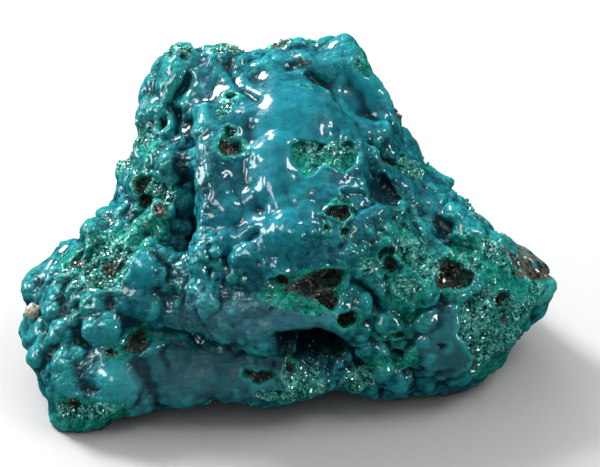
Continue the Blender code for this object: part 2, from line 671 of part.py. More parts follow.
    def spread(self, rule):
        """Strews knobs and pits over the sides, back and underside, where no other stands too near."""
        draw = np.random.default_rng(rule.seed)
        rise = np.zeros(len(self.points))
        sink = np.zeros(len(self.points))
        from_heart = unit(self.points - HEART)
        taken = []
        for towards in unit(draw.normal(size=(rule.tries, 3))):
            at = int(np.argmax(from_heart @ towards))
            spot, normal = self.points[at], self.normals[at]
            size = draw.uniform(*rule.sizes)
            share, kind, squash, turn = draw.uniform(*rule.stand), *draw.uniform(size=3)
            crowded = any(np.linalg.norm(spot - other) < 0.6 * (size + reach) for other, reach in taken)
            underneath = normal[2] < -0.3 and spot[2] < 2.0 * size
            if crowded or underneath or self.bulk_facing[at] > HIDDEN_BELOW or spot[2] < 1.0:
                continue
            taken.append((spot, size))
            if kind < rule.pits:
                half = (0.5 * size, 0.5 * size * (0.6 + 0.4 * squash))
                pit = Pit(0, 0, half, 0.36 * size, 0.08 * size, turn=180.0 * turn)
                rise, sink = self.pit_change(spot, normal, pit, rise, sink)
            else:
                ball = self.ball_rise(spot + (share - 1.0) * size * normal, size)
                rise = -smooth_least(-rise, -ball, 0.15 * size)
        hidden = smooth_step((HIDDEN_BELOW - self.bulk_facing) / 0.3 + 0.5)
        self.move(hidden * (rise - sink))

    def bubble(self, size, height, seed):
        """Covers the skin with low lumps, long along UP, that meet in creases, fewer where it is calm."""
        calm = np.zeros(len(self.points))
        for across, up, wide, high, smooth in CALM:
            away = ((self.across - across) / wide) ** 2 + ((self.up - up) / high) ** 2
            calm += smooth * np.exp(-(away**2)) * (self.facing > 0.0)
        calm = np.clip(calm, -1.0, 0.95)
        drift = np.stack([noise(self.points, 1.4 * size, seed + 90 + axis) for axis in range(3)], axis=1)
        run = self.points - LUMP_RUN * (self.points @ UP)[:, None] * UP + LUMP_DRIFT * size * drift
        lump = 1.0 - np.minimum(cell_distance(run, size, seed) / (LUMP_REACH * size), 1.0) ** 2
        patchy = 0.5 + 0.5 * smooth_step((noise(self.points, 13.0, seed + 40) + 0.3) / 0.6)
        lively = 1.0 - calm if size < LARGE_LUMPS else np.minimum(1.0 - calm, 1.0)
        self.move(height * lively * patchy * lump)


def cube_grid(bm, cells):
    """Fills a bmesh with a cube of even cells and gives its directions from the middle and its quads."""
    bmesh.ops.create_cube(bm, size=2.0)
    bmesh.ops.subdivide_edges(bm, edges=bm.edges[:], cuts=cells - 1, use_grid_fill=True)
    bm.verts.ensure_lookup_table()
    corners = np.array([v.co[:] for v in bm.verts])
    quads = np.array([[v.index for v in f.verts] for f in bm.faces])
    return unit(np.tan(corners * math.pi / 4)), quads


def stone_material():
    """The glazed teal-blue of the crust."""
    material = bpy.data.materials.new(NAME)
    material.use_nodes = True
    shader = material.node_tree.nodes["Principled BSDF"]
    shader.inputs["Base Color"].default_value = (0.02, 0.20, 0.27, 1.0)
    shader.inputs["Roughness"].default_value = 0.28
    shader.inputs["Metallic"].default_value = 0.0
    return material


def thinned(bm, faces):
    """The mesh of a bmesh with its faces joined where it bends little, down to a number of triangles."""
    mesh = bpy.data.meshes.new(NAME)
    bm.to_mesh(mesh)
    stone = bpy.data.objects.new(NAME, mesh)
    bpy.context.collection.objects.link(stone)
    thin = stone.modifiers.new("thin", "DECIMATE")
    thin.ratio = faces / (2.0 * len(mesh.polygons))
    thin.use_collapse_triangulate = True
    bpy.context.view_layer.update()
    few = bpy.data.meshes.new_from_object(stone.evaluated_get(bpy.context.evaluated_depsgraph_get()))
    stone.modifiers.clear()
    stone.data = few
    bpy.data.meshes.remove(mesh)
    return stone


def cut_flat(mesh):
    """Cuts the mesh off at the floor and closes each cut with a flat face."""
    bm = bmesh.new()
    bm.from_mesh(mesh)
    everything = bm.verts[:] + bm.edges[:] + bm.faces[:]
    on_floor = (0, 0, FLOOR_CUT)
    bmesh.ops.bisect_plane(bm, geom=everything, plane_co=on_floor, plane_no=(0, 0, 1), clear_inner=True)
    bmesh.ops.holes_fill(bm, edges=[e for e in bm.edges if e.is_boundary], sides=0)
    bmesh.ops.triangulate(bm, faces=bm.faces[:])
    bm.to_mesh(mesh)
    bm.free()


def plan_middle(points):
    """The middle, in plan, of the box around what stands above the floor."""
    standing = points[points[:, 2] > FLOOR_CUT]
    return np.append((standing.min(axis=0) + standing.max(axis=0))[:2] / 2, 0.0)


def modelled_skin(bm):
    """The whole skin with its forms, on the grid that fills the bmesh."""
    skin = Skin(*cube_grid(bm, GRID))
    skin.apply(FORMS, crease=2.0)
    for rule in SPREADS:
        skin.spread(rule)
    skin.bubble(*BUBBLES[0])
    skin.apply(MIDDLE_FORMS, crease=0.8)
    skin.bubble(*BUBBLES[1])
    skin.apply(PITS)
    skin.points = draw_to_outline(skin.points)
    skin.settle()
    return skin


def build():
    """Models the stone and leaves it as one object."""
    for old in list(bpy.data.objects):
        bpy.data.objects.remove(old)
    bm = bmesh.new()
    skin = modelled_skin(bm)
    for vert, point in zip(bm.verts, (skin.points - plan_middle(skin.points)) * MM):
        vert.co = point
    stone = thinned(bm, FACES)
    bm.free()
    cut_flat(stone.data)
    corners = np.array([v.co[:] for v in stone.data.vertices])
    middle = (corners.min(axis=0) + corners.max(axis=0)) / 2
    for vert in stone.data.vertices:
        vert.co.x -= middle[0]
        vert.co.y -= middle[1]
    stone.data.shade_smooth()
    stone.data.materials.append(stone_material())
    return stone


if __name__ == "__main__":
    build()
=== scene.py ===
"""Dresses the chrysocolla specimen: its glazed skin, druse and matrix, one pale grain, and a plain studio.

The stone is worked out in millimetres and goes into its meshes in metres. Its show side has a frame of its
own: across is +X, up runs up and back along the leaning face, and out points off the face to the viewer. The
big and middle forms are those of the solid that the skin stands for. Finer lumps, rough druse and small
crystals come on top of them.
"""

from __future__ import annotations

import itertools
import logging
import math
from collections.abc import Callable, Iterable, Sequence
from dataclasses import dataclass
from enum import Enum

import bpy
import numpy as np
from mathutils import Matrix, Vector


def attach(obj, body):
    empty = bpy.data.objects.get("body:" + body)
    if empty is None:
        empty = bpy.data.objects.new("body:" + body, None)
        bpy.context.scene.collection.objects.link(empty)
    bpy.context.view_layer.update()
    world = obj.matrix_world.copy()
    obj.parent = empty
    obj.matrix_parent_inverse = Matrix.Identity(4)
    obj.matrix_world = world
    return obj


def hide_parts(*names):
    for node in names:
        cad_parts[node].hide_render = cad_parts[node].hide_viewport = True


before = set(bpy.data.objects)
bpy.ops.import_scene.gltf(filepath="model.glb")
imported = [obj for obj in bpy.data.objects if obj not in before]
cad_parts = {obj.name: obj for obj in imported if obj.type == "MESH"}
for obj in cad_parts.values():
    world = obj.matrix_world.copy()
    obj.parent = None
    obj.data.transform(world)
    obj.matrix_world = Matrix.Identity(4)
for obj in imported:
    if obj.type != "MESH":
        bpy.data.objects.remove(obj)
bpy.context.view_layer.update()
LOG = logging.getLogger("specimen")

# Short names of types
Array = np.ndarray
Place = tuple[float, float]
Triple = tuple[float, float, float]
Colour = tuple[int, int, int]
Tree = bpy.types.NodeTree
Socket = bpy.types.NodeSocket
Sockets = bpy.types.NodeOutputs
Piece = bpy.types.Object

MM = 0.001

# Driving sizes of the stone, as in the solid
FACE_LEAN = math.radians(35.0)
FACE_MIDDLE = 31.0
VIEW_DISTANCE = 667.0
HEART = np.array((-3.0, 12.0, 22.0))
REACH = 90.0
BLEND = 7.0
BREAK_BLEND = 4.0
RAY_STEPS = 60
RAY_SHARE = 0.7

ACROSS = np.array((1.0, 0.0, 0.0))
UP = np.array((0.0, math.sin(FACE_LEAN), math.cos(FACE_LEAN)))
OUT = np.array((0.0, -math.cos(FACE_LEAN), math.sin(FACE_LEAN)))
CAVE_RUN = np.array((0.0, 0.97, 0.24))
LAYER_RUN = 0.64 * ACROSS + 0.768 * UP

# How seeded numbers are made: cells are shifted above nought, then their codes are multiplied and folded
CELL_SHIFT = 1000
CELL_CODES = (73856093, 19349663, 83492791)
SEED_CODE = 2654435761
FOLD_CODE = 0x9E3779B97F4A7C15

# How the skin is drawn to its outline: slots around the heart, how wide they are averaged, the edge's band
EDGE_SLOTS = 240
EDGE_NEAR = 0.3
FINE_SLOTS, OUT_SLOTS, BROAD_SLOTS = 1, 3, 4
EDGE_SHARE = 0.10
EDGE_BAND = 5.0

# How points slide apart after a move, and how far a push turns to its neighbours
PUSH_ROUNDS = 4
PUSH_WEIGHT = 2.0
SLIDE_ROUNDS = 4
SLIDE_OFF = 0.1
SLIDE_OFF_LARGE = 0.3
LARGE_CREASE = 1.0

# How far about a place the skin is read, what is its front, and where the hidden side starts
PLACE_REACH = 1.0
PLACE_MORE = 0.5
FRONT_FACING = 0.02
FRONT_STEP = 4.0
FRONT_DEPTH = 11.0
HIDDEN_BELOW = 0.12
HIDDEN_FADE = 0.3
FLOOR_GAP = 1.0
UNDERSIDE = -0.3

# How forms are read: balls and lobes by shares of their radius, grooves by their width and an even step
BALL_READ = 3.4
BALL_ALONG = 2.0
SKIRT_DEPTH = 0.6
SKIRT_ROOM = 0.3
LOBE_STEP = 0.15
GROOVE_READ = 3.0
GROOVE_STEP = 2.0

# A pit's rim and wall by how far out they are, its ragged edge's waves, and how round a strewn pit is
PIT_READ = 5.5
PIT_RIM_AT = 1.25
PIT_RIM_WIDTH = 0.25
PIT_WALL = (0.55, 0.6)
PIT_WAVES = ((3, 0.13, 0), (5, 0.09, 2))
ROUND_LEAST, ROUND_MORE = 0.6, 0.4

# How the edge of a hollow wanders, and how far its walls lean out
FIELD_WANDER = 0.7
FIELD_NOISE = (2.2, 31)
FIELD_WIDER = 0.35

# Linings: how they fade over their edge, how far green goes past brown, where one counts, a stain's edge
LINING_FADE = 4.0
GREEN_EDGE = 0.7
LINED = 0.42
LINED_FADE = 0.16
STAIN_EDGE = (0.7, 0.8)

# Small lumps: how round, stretched and uneven they are, the slow noise over them, and where they are large
LUMP_ROUND = 0.62
LUMP_STRETCH = 0.22
LUMP_DRIFT = 0.3
LUMP_DRIFT_SIZE = 1.4
DRIFT_SEED = 90
PATCH_SIZE = 13.0
PATCH_SEED = 40
PATCH_RISE = (-0.3, 0.6)
LARGE_LUMPS = 4.0
CALMEST = 0.95
LUMPIEST = 1.5

# The lumps themselves, from large to small: spacing, height and seed
BROAD_LUMPS = (8.0, 1.4, 3)
SMALL_LUMPS = ((4.6, 1.0, 5), (3.0, 0.75, 6), (2.0, 0.42, 7))

# What the front hides: slow and fine noise of matrix and druse, where each starts, and the stained base
MATRIX_NOISE = (11.0, 4.0, 51)
DRUSE_NOISE = (9.0, 3.5, 53)
MATRIX_FROM = (0.42, 0.3)
EMERALD_FROM = (0.15, 0.4)
GREEN_FROM = (0.48, 0.25)
BASE_GREEN_FROM = (-0.1, 0.3)
BASE_TOP = 1.2
BASE_FADE = 1.4
BASE_MATRIX = 0.95

# The rough relief of druse and matrix, its two kinds of ridges, and how the crests and valleys are read
COARSE_RIDGES = (3.4, 61)
LAYER_RIDGES = (1.5, 62)
LAYER_STRETCH = 0.6
COARSE_PART, FINE_PART = 0.6, 0.4
RIDGE_HEIGHT = 1.5
RIDGE_SINK = 0.95
EMERALD_ROUGH = 0.5
EMERALD_FADE = 0.3
CREST_ROUNDS = 10
CREST_HEIGHT = 0.25
VALLEY_ROUNDS = 80
VALLEY_DEPTH = 1.1

# Druse: a crystal's sides, foot and shoulder, and where crystals stand on their tint and keep off the brown
SIDES = 6
FOOT, SHOULDER = -0.35, 0.55
DRUSE_ON_TINT = (0.5, 0.15)
DRUSE_OFF_BROWN = (0.4, 0.2)

# The shared effects: how many finer layers their noise has, then clouds, flecks and veins, broken edges with
# bands, fine ridges, and facets
CLOUD_LAYERS, FINE_LAYERS, VEIN_LAYERS = 4.0, 3.0, 5.0
FLECK_FINER, VEIN_FINER = 7.0, 1.7
CLOUD_RISE, FLECK_RISE, VEIN_RISE = (0.32, 0.68), (0.40, 0.66), (0.025, 0.0)
EDGE_BREAK, EDGE_SHARP = (0.6, -0.3), (0.48, 0.53)
BAND_WAVES, BAND_SWING = 75.0, (0.4, 0.45)
BANDS_FROM, BANDS_WHERE = (0.26, 0.46), (0.38, 0.54)
FINE_SHARP = (-8.0, 1.0)
FACET_STEP = 0.6


class Tint(Enum):
    """What the skin shows besides plain glaze, painted shade and sheen among it. Each one is a point
    attribute that the materials read.
    """

    GREEN = "green"
    BROWN = "brown"
    GREY = "grey"
    RIM = "rim"
    # Pale milky glaze, partly a painted sheen where glare falls
    PALE_SHEEN = "pale"
    # Painted shade: the dark of deep pits, hollows, the cave and some creases
    HOLLOW_SHADE = "deep"
    SEA = "sea"
    EMERALD = "emerald"
    # Satin finish, whose colour is a painted grey haze of reflection
    SATIN_HAZE = "satin"
    LUMPY = "lumpy"
    # Painted shade where the main lamp doesn't reach
    PAINTED_SHADE = "shade"
    CRAG = "crag"
    # Standing out or sunken, read for painted shade in creases and painted highlight on crests
    CREST_SHADING = "crest"
    # Depth in broad valleys, read for painted shade there
    VALLEY_SHADE = "valley"


@dataclass(frozen=True)
class Mass:
    """An ellipsoid of the bulk: centre and radii along X, Y, Z, leaned about X and turned about Z."""

    at: Triple
    radii: Triple
    lean: float = 0.0
    turn: float = 0.0


@dataclass(frozen=True)
class Break:
    """A flat break: what lies beyond the plane through the point, on the side of the normal, is gone."""

    at: Triple
    normal: Triple


@dataclass(frozen=True)
class Knob:
    """A ball that stands out of the skin: its place on the face, radius and height above the skin."""

    across: float
    up: float
    radius: float
    stand: float


@dataclass(frozen=True)
class Lobe:
    """A round-backed ridge along a path of places on the face."""

    path: tuple[Place, ...]
    radius: float
    stand: float


@dataclass(frozen=True)
class Groove:
    """A crease along a path of places on the face."""

    path: tuple[Place, ...]
    width: float
    depth: float


@dataclass(frozen=True)
class Pit:
    """An oval pit, broken or dissolved: half-sizes, depth, height of its raised rim, turn and lining."""

    across: float
    up: float
    half: Place
    depth: float
    rim: float = 0.0
    turn: float = 0.0
    lining: Tint | None = None


@dataclass(frozen=True)
class Hollow:
    """A sunken field inside an outline of places on the face: its depth, its walls' width and its lining."""

    outline: tuple[Place, ...]
    depth: float
    wall: float
    lining: Tint | None = None


class Cave(Hollow):
    """A deep hollow that runs back under a lip. Its outline is that of its mouth."""


@dataclass(frozen=True)
class Spread:
    """Lumps strewn over what the front hides: draws, sizes, height as a share of size, share of pits.

    The rest are shares of size too: how near two may stand, a pit's depth and rim, and a lump's crease.
    """

    tries: int
    sizes: Place
    stand: Place
    pits: float
    seed: int
    apart: float = 0.6
    pit_depth: float = 0.36
    pit_rim: float = 0.08
    crease: float = 0.15


Form = Knob | Lobe | Groove | Pit | Hollow

MASSES = (
    Mass((-4, 20, 24), (34, 25, 33)),
    Mass((-5, 31, 42), (29, 12, 20), lean=-10),
    Mass((2, 8, 28), (25, 21, 21), lean=-35),
    Mass((-5, -2, 23), (20, 15, 10)),
    Mass((-12, -4, 8), (28, 16, 9)),
    Mass((-34, 8, 15), (23, 20, 20)),
    Mass((-41, -9, 6), (13, 13, 9)),
    Mass((26, 8, 18), (24, 20, 18)),
    Mass((40, 12, 14), (13, 13, 10)),
    Mass((2, 28, 18), (38, 17, 24)),
)

BREAKS = (
    Break((0, 43, 20), (0.1, 1.0, 0.05)),
    Break((0, 0, -3), (0.0, 0.0, -1.0)),
)

# The outline of the show side, clockwise from the knob at the top left
OUTLINE = (
    (-32.6, 30.4), (-31.2, 34.0), (-30.6, 36.0), (-28.0, 38.4), (-27.0, 40.4), (-24.0, 42.0), (-21.2, 40.4),
    (-18.8, 40.4), (-17.4, 41.8), (-13.6, 41.2), (-10.6, 38.6), (-7.6, 40.8), (-4.0, 41.4), (0.0, 42.6),
    (4.0, 42.0), (9.6, 43.8), (11.8, 41.2), (13.8, 38.0), (15.0, 35.2), (18.0, 31.2), (20.0, 25.8),
    (22.4, 22.8), (24.6, 19.6), (24.0, 18.0), (28.2, 15.0), (31.4, 14.0), (32.2, 10.0), (35.8, 7.6),
    (38.0, 3.4), (41.6, 3.4), (44.4, 1.0), (48.0, -1.4), (52.0, -6.2), (51.4, -7.6), (50.4, -10.0),
    (48.6, -13.6), (45.0, -17.0), (42.0, -19.4), (41.8, -22.0), (38.4, -25.2), (33.0, -28.4), (28.6, -30.0),
    (24.0, -29.2), (19.0, -30.0), (14.0, -30.0), (9.0, -28.0), (6.0, -28.6), (0.0, -30.2), (-6.4, -31.8),
    (-12.0, -30.6), (-17.0, -30.4), (-24.0, -31.8), (-32.0, -33.0), (-37.0, -34.8), (-42.0, -36.4),
    (-48.0, -37.8), (-50.0, -35.0), (-50.8, -31.0), (-52.4, -26.0), (-55.0, -22.6), (-56.6, -17.0),
    (-55.6, -14.4), (-55.2, -10.0), (-56.2, -6.0), (-54.0, -3.2), (-50.4, -2.2), (-48.2, 0.4), (-46.0, 3.4),
    (-42.6, 4.8), (-41.2, 8.2), (-36.0, 9.6), (-37.0, 12.4), (-36.8, 16.4), (-33.2, 19.2), (-32.4, 22.4),
    (-33.4, 27.4),
)

# The big forms of the show side
FORMS = (
    Knob(-2, 31, 18, 2.0),
    Lobe(((2, 38.5), (7, 39.5), (11, 40)), 5, 1.6),
    Lobe(((12, 37.6), (15, 33), (17.4, 27.4)), 3.6, 2.4),
    Lobe(((15, 25), (19, 22.5), (23.6, 19)), 4.5, 2.2),
    Lobe(((-20.4, 27), (-19.6, 22), (-18.6, 16), (-17.8, 10), (-18.6, 5), (-18.4, 0)), 5.0, 2.8),
    Lobe(((-19, -12), (-15, -15), (-9, -16.2), (-2, -16.2), (4, -14.6)), 4.6, 2.6),
    Lobe(((24, 17), (29, 9), (34, 5), (40, 0.5)), 4.4, 2.2),
    Lobe(((-25, 37.6), (-26.4, 34), (-27.4, 30)), 3.4, 2.0),
    Lobe(((-35, -9.5), (-29, -12), (-23, -14)), 3.4, 1.8),
    Lobe(((-35, 3), (-31, 6), (-27, 9)), 3.2, 1.8),
    Knob(-37.8, -27.2, 5.0, 2.8),
    Knob(-32, -4, 5.5, 2.6),
    Knob(-28, 18, 4.6, 2.4),
    Knob(-34.4, 14.4, 4.2, 2.6),
    Knob(-10, -1.6, 8, 2.0),
    Knob(-3.4, 4, 8, 1.4),
    Knob(22, -8, 5, 2.4),
    Knob(30, -20, 10, 2.2),
    Knob(40, -14, 8, 1.8),
    Knob(-44, 3.4, 4, 1.8),
    Knob(-42, -15, 5, 2.2),
    Knob(17, -25, 4, 1.8),
    Groove(((-24, 25), (-24.6, 16), (-24.2, 9), (-24.4, 3)), 4.0, 5.0),
    Groove(((-23.4, 23), (-23.4, 14), (-22.8, 6), (-22.8, 2)), 2.0, 4.4),
    Groove(((4, 37), (9, 32), (14, 27.6)), 4.0, 1.6),
    Groove(((-31, -17), (-22, -17), (-17, -18.6), (-10, -20), (-4, -20)), 1.8, 3.0),
    Groove(((2, -19), (6, -19), (10, -20)), 2.2, 3.0),
    Groove(((-43, -20), (-43.8, -25), (-43, -30)), 2.2, 2.0),
    Groove(((-30, 12), (-33, 9), (-36, 4)), 2.0, 2.0),
    Groove(((16, 17), (20, 13), (24, 8), (29, 4), (34, 0)), 2.4, 2.6),
)

# Lobes, knobs and creases of middle size on the show side
MIDDLE_FORMS = (
    Knob(-24, 40.6, 2.2, 1.8),
    Lobe(((-18, 40.2), (-15, 40.8), (-12.6, 40.2)), 2.2, 1.5),
    Knob(-31, 35, 1.9, 1.1),
    Knob(-31.4, 31, 2.1, 1.2),
    Knob(-32, 27.6, 2.2, 1.2),
    Lobe(((-30, 30), (-28.5, 27), (-27, 24.4)), 2.0, 1.5),
    Knob(-31, 19, 1.8, 1.1),
    Lobe(((-29, 13), (-24, 10)), 1.8, 0.9),
    Knob(-28, 8.4, 1.8, 1.0),
    Knob(-25, 1.4, 2.6, 1.5),
    Knob(-24, 5, 2.5, 1.5),
    Knob(-28.5, 3.5, 2.2, 1.2),
    Knob(-40, 7.4, 2.2, 1.5),
    Knob(-37.6, 8, 2.2, 1.4),
    Knob(-46.4, 1.6, 3.0, 2.0),
    Knob(-49.6, -1.6, 2.6, 1.8),
    Knob(-53, -5, 3.0, 2.0),
    Knob(-50, -6, 1.8, 1.2),
    Knob(-51, -9, 2.2, 1.3),
    Knob(-55, -9, 1.8, 1.1),
    Knob(-52.8, -12.6, 2.0, 1.4),
    Knob(-54.4, -17, 3.0, 2.0),
    Knob(-50, -17, 2.4, 1.4),
    Knob(-48, -17.6, 1.9, 1.1),
    Knob(-53, -21, 3.0, 1.9),
    Knob(-48, -23, 2.6, 1.4),
    Knob(-42.4, -16, 2.4, 1.8),
    Knob(-39, -15.4, 3.2, 2.2),
    Lobe(((-30.6, -20), (-28, -18.4), (-24, -18)), 1.5, 0.9),
    Lobe(((-20, -2), (-19.2, -6), (-18.6, -10.6)), 2.5, 2.0),
    Knob(-8.4, 19.6, 5, 1.1),
    Knob(-9, 11.6, 4, 1.0),
    Knob(-5, 10, 4, 0.9),
    Knob(-3.6, 13.6, 4, 0.8),
    Knob(2, 5, 5, 1.1),
    Knob(-14, 8, 4.4, 1.2),
    Knob(-15, 3, 3.8, 1.0),
    Knob(0, 11, 4.4, 0.7),
    Knob(-15, 20, 4.4, 0.9),
    Knob(14, 3.6, 1.9, 1.1),
    Knob(18, 4.2, 2.0, 1.2),
    Knob(16.6, 1.4, 2.0, 1.3),
    Knob(21, 9, 3.0, 1.2),
    Knob(25.5, 4.5, 3.0, 1.4),
    Lobe(((12.4, -10), (11.8, -12.6), (11, -15)), 1.8, 1.2),
    Knob(9, -22, 2.4, 1.4),
    Knob(15, -20, 2.8, 2.2),
    Knob(18, -14.4, 3.0, 1.8),
    Knob(12.4, -16.4, 2.0, 1.2),
    Knob(21.8, -19.6, 1.7, 1.0),
    Knob(20.5, -27, 2.8, 1.5),
    Knob(17.4, -24.4, 2.6, 1.3),
    Knob(25, -14, 2.8, 1.3),
    Knob(26, -8.4, 3.0, 1.8),
    Knob(29, 13, 2.6, 1.9),
    Knob(31.4, 11, 2.2, 1.4),
    Knob(34, 8, 2.4, 1.6),
    Knob(41.6, 2.4, 2.2, 1.3),
    Knob(35, -2.4, 2.2, 1.1),
    Knob(26.4, -3.6, 2.2, 1.1),
    Lobe(((51, -7), (49, -10), (44, -14.4), (41, -19)), 1.9, 1.1),
    Knob(33, -26, 3.0, 1.3),
    Knob(26, -27, 3.0, 1.2),
    Groove(((-23.6, 36), (-24.4, 33), (-27.2, 29.4)), 1.1, 2.4),
    Groove(((-25.4, 28.4), (-25.6, 24.4)), 1.0, 2.4),
    Groove(((-21.6, 33), (-20.8, 30), (-21.8, 26)), 1.4, 0.5),
    Groove(((-17.4, 35), (-18.2, 31), (-17.2, 27)), 1.3, 0.5),
    Groove(((-10.6, 25), (-10.4, 19), (-12.2, 15.2), (-9.6, 11.8), (-8.4, 8.6)), 2.2, 1.3),
    Lobe(((-4.4, 21), (-4.6, 16), (-6.4, 12)), 5.0, 1.4),
    Knob(-2.4, 4.4, 5.0, 1.7),
    Knob(1.6, 7.6, 3.6, 1.0),
    Groove(((-15.6, 38), (-12, 33), (-9, 31)), 0.9, 0.8),
    Groove(((2, 37), (6, 33.6), (9, 30), (11.6, 26.4)), 1.2, 1.2),
    Groove(((14.6, 22.4), (18, 20.6), (22.6, 18)), 1.1, 2.0),
    Groove(((-9, 3.4), (-14, 0.6), (-15.6, -2)), 1.0, 1.3),
    Groove(((-15, -7), (-9, -9), (-2, -9.6), (4, -12.6)), 1.0, 0.8),
    Groove(((33, -12.4), (35.6, -10), (38, -9)), 0.9, 2.0),
    Groove(((17, 0.4), (18.6, -3), (17.4, -5.4)), 1.1, 1.8),
    Groove(((11, -6), (14, -8), (16, -12)), 1.1, 1.8),
    Groove(((13, -23), (19, -22), (24, -17)), 1.2, 1.6),
    Groove(((-46, -12), (-44, -19)), 1.2, 1.2),
    Groove(((-32, 3), (-37, -1), (-38, -6)), 1.2, 1.2),
)

# Pits and broken places of the show side, each with its lining. The dark lining of deep pits, hollows and the
# cave is painted shade
PITS = (
    Pit(-24, 40.2, (0.9, 0.8), 0.8, lining=Tint.GREEN),
    Pit(-29, 26.2, (1.3, 2.2), 3.0, turn=-25, lining=Tint.HOLLOW_SHADE),
    Pit(-22.6, 26, (2.0, 1.1), 0.9, turn=20),
    Pit(-14.2, 31.4, (1.4, 1.0), 1.4, rim=0.5, lining=Tint.BROWN),
    Pit(-14.4, 24, (1.1, 1.1), 1.3, rim=0.4, lining=Tint.GREEN),
    Pit(-14, 21, (2.6, 2.0), 2.0, rim=0.3, lining=Tint.BROWN),
    Pit(1, 34.2, (0.9, 0.6), 0.6, lining=Tint.GREEN),
    Pit(-0.5, 39.4, (2.8, 1.8), 1.0, lining=Tint.HOLLOW_SHADE),
    Pit(12.6, 39.8, (1.0, 1.9), 1.2, lining=Tint.GREEN),
    Pit(17.6, 20, (1.2, 1.0), 0.8, rim=0.3, lining=Tint.GREY),
    Pit(8, 7.6, (2.2, 1.4), 1.8, rim=0.7, lining=Tint.BROWN),
    Pit(9.2, 3.8, (0.8, 0.8), 1.3, lining=Tint.BROWN),
    Pit(5.6, 4.6, (0.7, 0.7), 1.2, lining=Tint.BROWN),
    Pit(9, -14, (2.1, 1.6), 3.0, rim=0.4, lining=Tint.BROWN),
    Pit(18.8, -3.2, (1.6, 1.4), 2.2, lining=Tint.BROWN),
    Pit(17.2, -0.2, (1.3, 1.0), 2.0, lining=Tint.BROWN),
    Pit(19.4, -20.6, (1.6, 1.1), 1.6, rim=0.4, lining=Tint.HOLLOW_SHADE),
    Pit(19, -17.2, (2.0, 1.0), 1.2, rim=0.4, lining=Tint.BROWN),
    Pit(-1.8, -24, (1.1, 1.7), 1.4, rim=0.3, lining=Tint.BROWN),
    Pit(-8.4, -25.6, (3.1, 1.1), 1.2, rim=0.4, lining=Tint.BROWN),
    Pit(-34, 14.4, (2.4, 2.0), 1.2, rim=0.5, lining=Tint.BROWN),
    Pit(-32.6, 10.4, (1.5, 1.2), 2.4, lining=Tint.BROWN),
    Pit(-38, -21, (1.5, 0.9), 0.8, rim=0.4, lining=Tint.BROWN),
    Pit(-47.6, -32, (2.0, 1.4), 0.9, lining=Tint.BROWN),
    Pit(-42, -33, (2.0, 1.2), 0.8, lining=Tint.GREEN),
    Pit(30, 5, (2.2, 2.8), 0.7, lining=Tint.HOLLOW_SHADE),
    Pit(31.4, 1.0, (2.4, 1.8), 0.7, lining=Tint.HOLLOW_SHADE),
    Pit(31, -5, (3.6, 3.0), 3.4, rim=0.2, lining=Tint.BROWN),
    Pit(21.6, -7.4, (2.4, 2.2), 1.0, rim=0.6, lining=Tint.GREEN),
    Pit(28.6, -19.6, (0.8, 0.7), 0.8, lining=Tint.HOLLOW_SHADE),
    Pit(42.6, -10, (2.0, 1.4), 1.5, turn=30, lining=Tint.BROWN),
    Pit(43, -15, (1.5, 1.2), 1.4, lining=Tint.BROWN),
    Pit(36, -23.4, (2.0, 1.1), 1.4, lining=Tint.BROWN),
    Hollow(((-6.6, -6.2), (-4, -5), (0, -5), (6, -3.6), (8.8, -4.6), (8.2, -8), (7, -12.4), (4, -11.2),
            (0, -10), (-4, -9), (-5.8, -7.8)), 4.2, 1.6, Tint.BROWN),
    Cave(((-5, -17.4), (0, -16.8), (4, -16.4), (7, -17.6), (9.4, -19.4), (8, -21.4), (2, -21.2), (-4, -20.6)),
         9.0, 1.6, Tint.HOLLOW_SHADE),
    Hollow(((14.2, 15.8), (18.8, 16.2), (22, 12.4), (20.6, 9), (15.2, 10.2)), 1.6, 3.2, Tint.HOLLOW_SHADE),
    Hollow(((-1.8, 21), (0, 22.4), (3.4, 22.6), (6, 21), (10.4, 22.4), (12, 20.4), (11.4, 18), (9, 16.2),
            (5.4, 17), (1, 15.2), (-2, 18.2)), 1.1, 0.8, Tint.EMERALD),
    Hollow(((8.6, 12.2), (15.8, 12.4), (16.6, 10), (11.6, 7.4)), 1.3, 1.0, Tint.PALE_SHEEN),
    Hollow(((-46.8, -2.4), (-45, 1), (-40, 1.6), (-35, 0), (-36, -5), (-39, -8.6), (-44, -8), (-46.8, -5.4)),
           1.0, 1.2, Tint.GREEN),
    Hollow(((-36.4, -20.6), (-33.6, -16.4), (-31.2, -15.8), (-30.2, -18), (-32.4, -20.6)),
           2.2, 1.2, Tint.BROWN),
    Hollow(((33, -11), (38, -8), (44, -9), (46.4, -12), (43, -17), (40, -20.4), (35.6, -21.4), (32.2, -17)),
           0.9, 1.0, Tint.GREEN),
    Hollow(((43, 1.2), (48, -1.6), (52, -6.4), (46.4, -5.4), (44.8, -2.4)), 0.8, 1.0, Tint.GREY),
)

# Where small lumps are few or many on the show side: place, half-sizes, how smooth (knobbly below nought)
CALM = (
    (-1, 30, 12, 11, 0.95), (-8, 12, 12, 15, 0.8), (5, 12, 9, 7, 0.7), (-19, 32, 6, 7, 0.8),
    (-19, -25, 14, 5.5, 0.8), (30, -18, 5, 8, 0.8), (-37.6, -27.2, 4.5, 4.5, 0.95), (13, 31, 4.5, 8, 0.9),
    (0, -14.5, 12, 3, 0.7),
    (29, 10, 3, 5, 0.7), (-32, -4, 3.5, 3.5, 0.8), (-50, -8, 8, 16, -0.8), (-30, 10, 7, 16, -0.6),
    (22, -2, 8, 14, -0.7), (14, -24, 14, 6, -0.5), (-22, -3, 8, 8, -0.5), (34, -8, 6, 8, -0.8),
)

# Lumps and pits of the sides, the back and the underside, spread by seeded draws from large to small
SPREADS = (
    Spread(tries=120, sizes=(8.0, 13.0), stand=(0.22, 0.34), pits=0.15, seed=4),
    Spread(tries=420, sizes=(3.6, 6.6), stand=(0.30, 0.55), pits=0.28, seed=11),
    Spread(tries=900, sizes=(1.8, 3.2), stand=(0.45, 0.75), pits=0.22, seed=23),
)
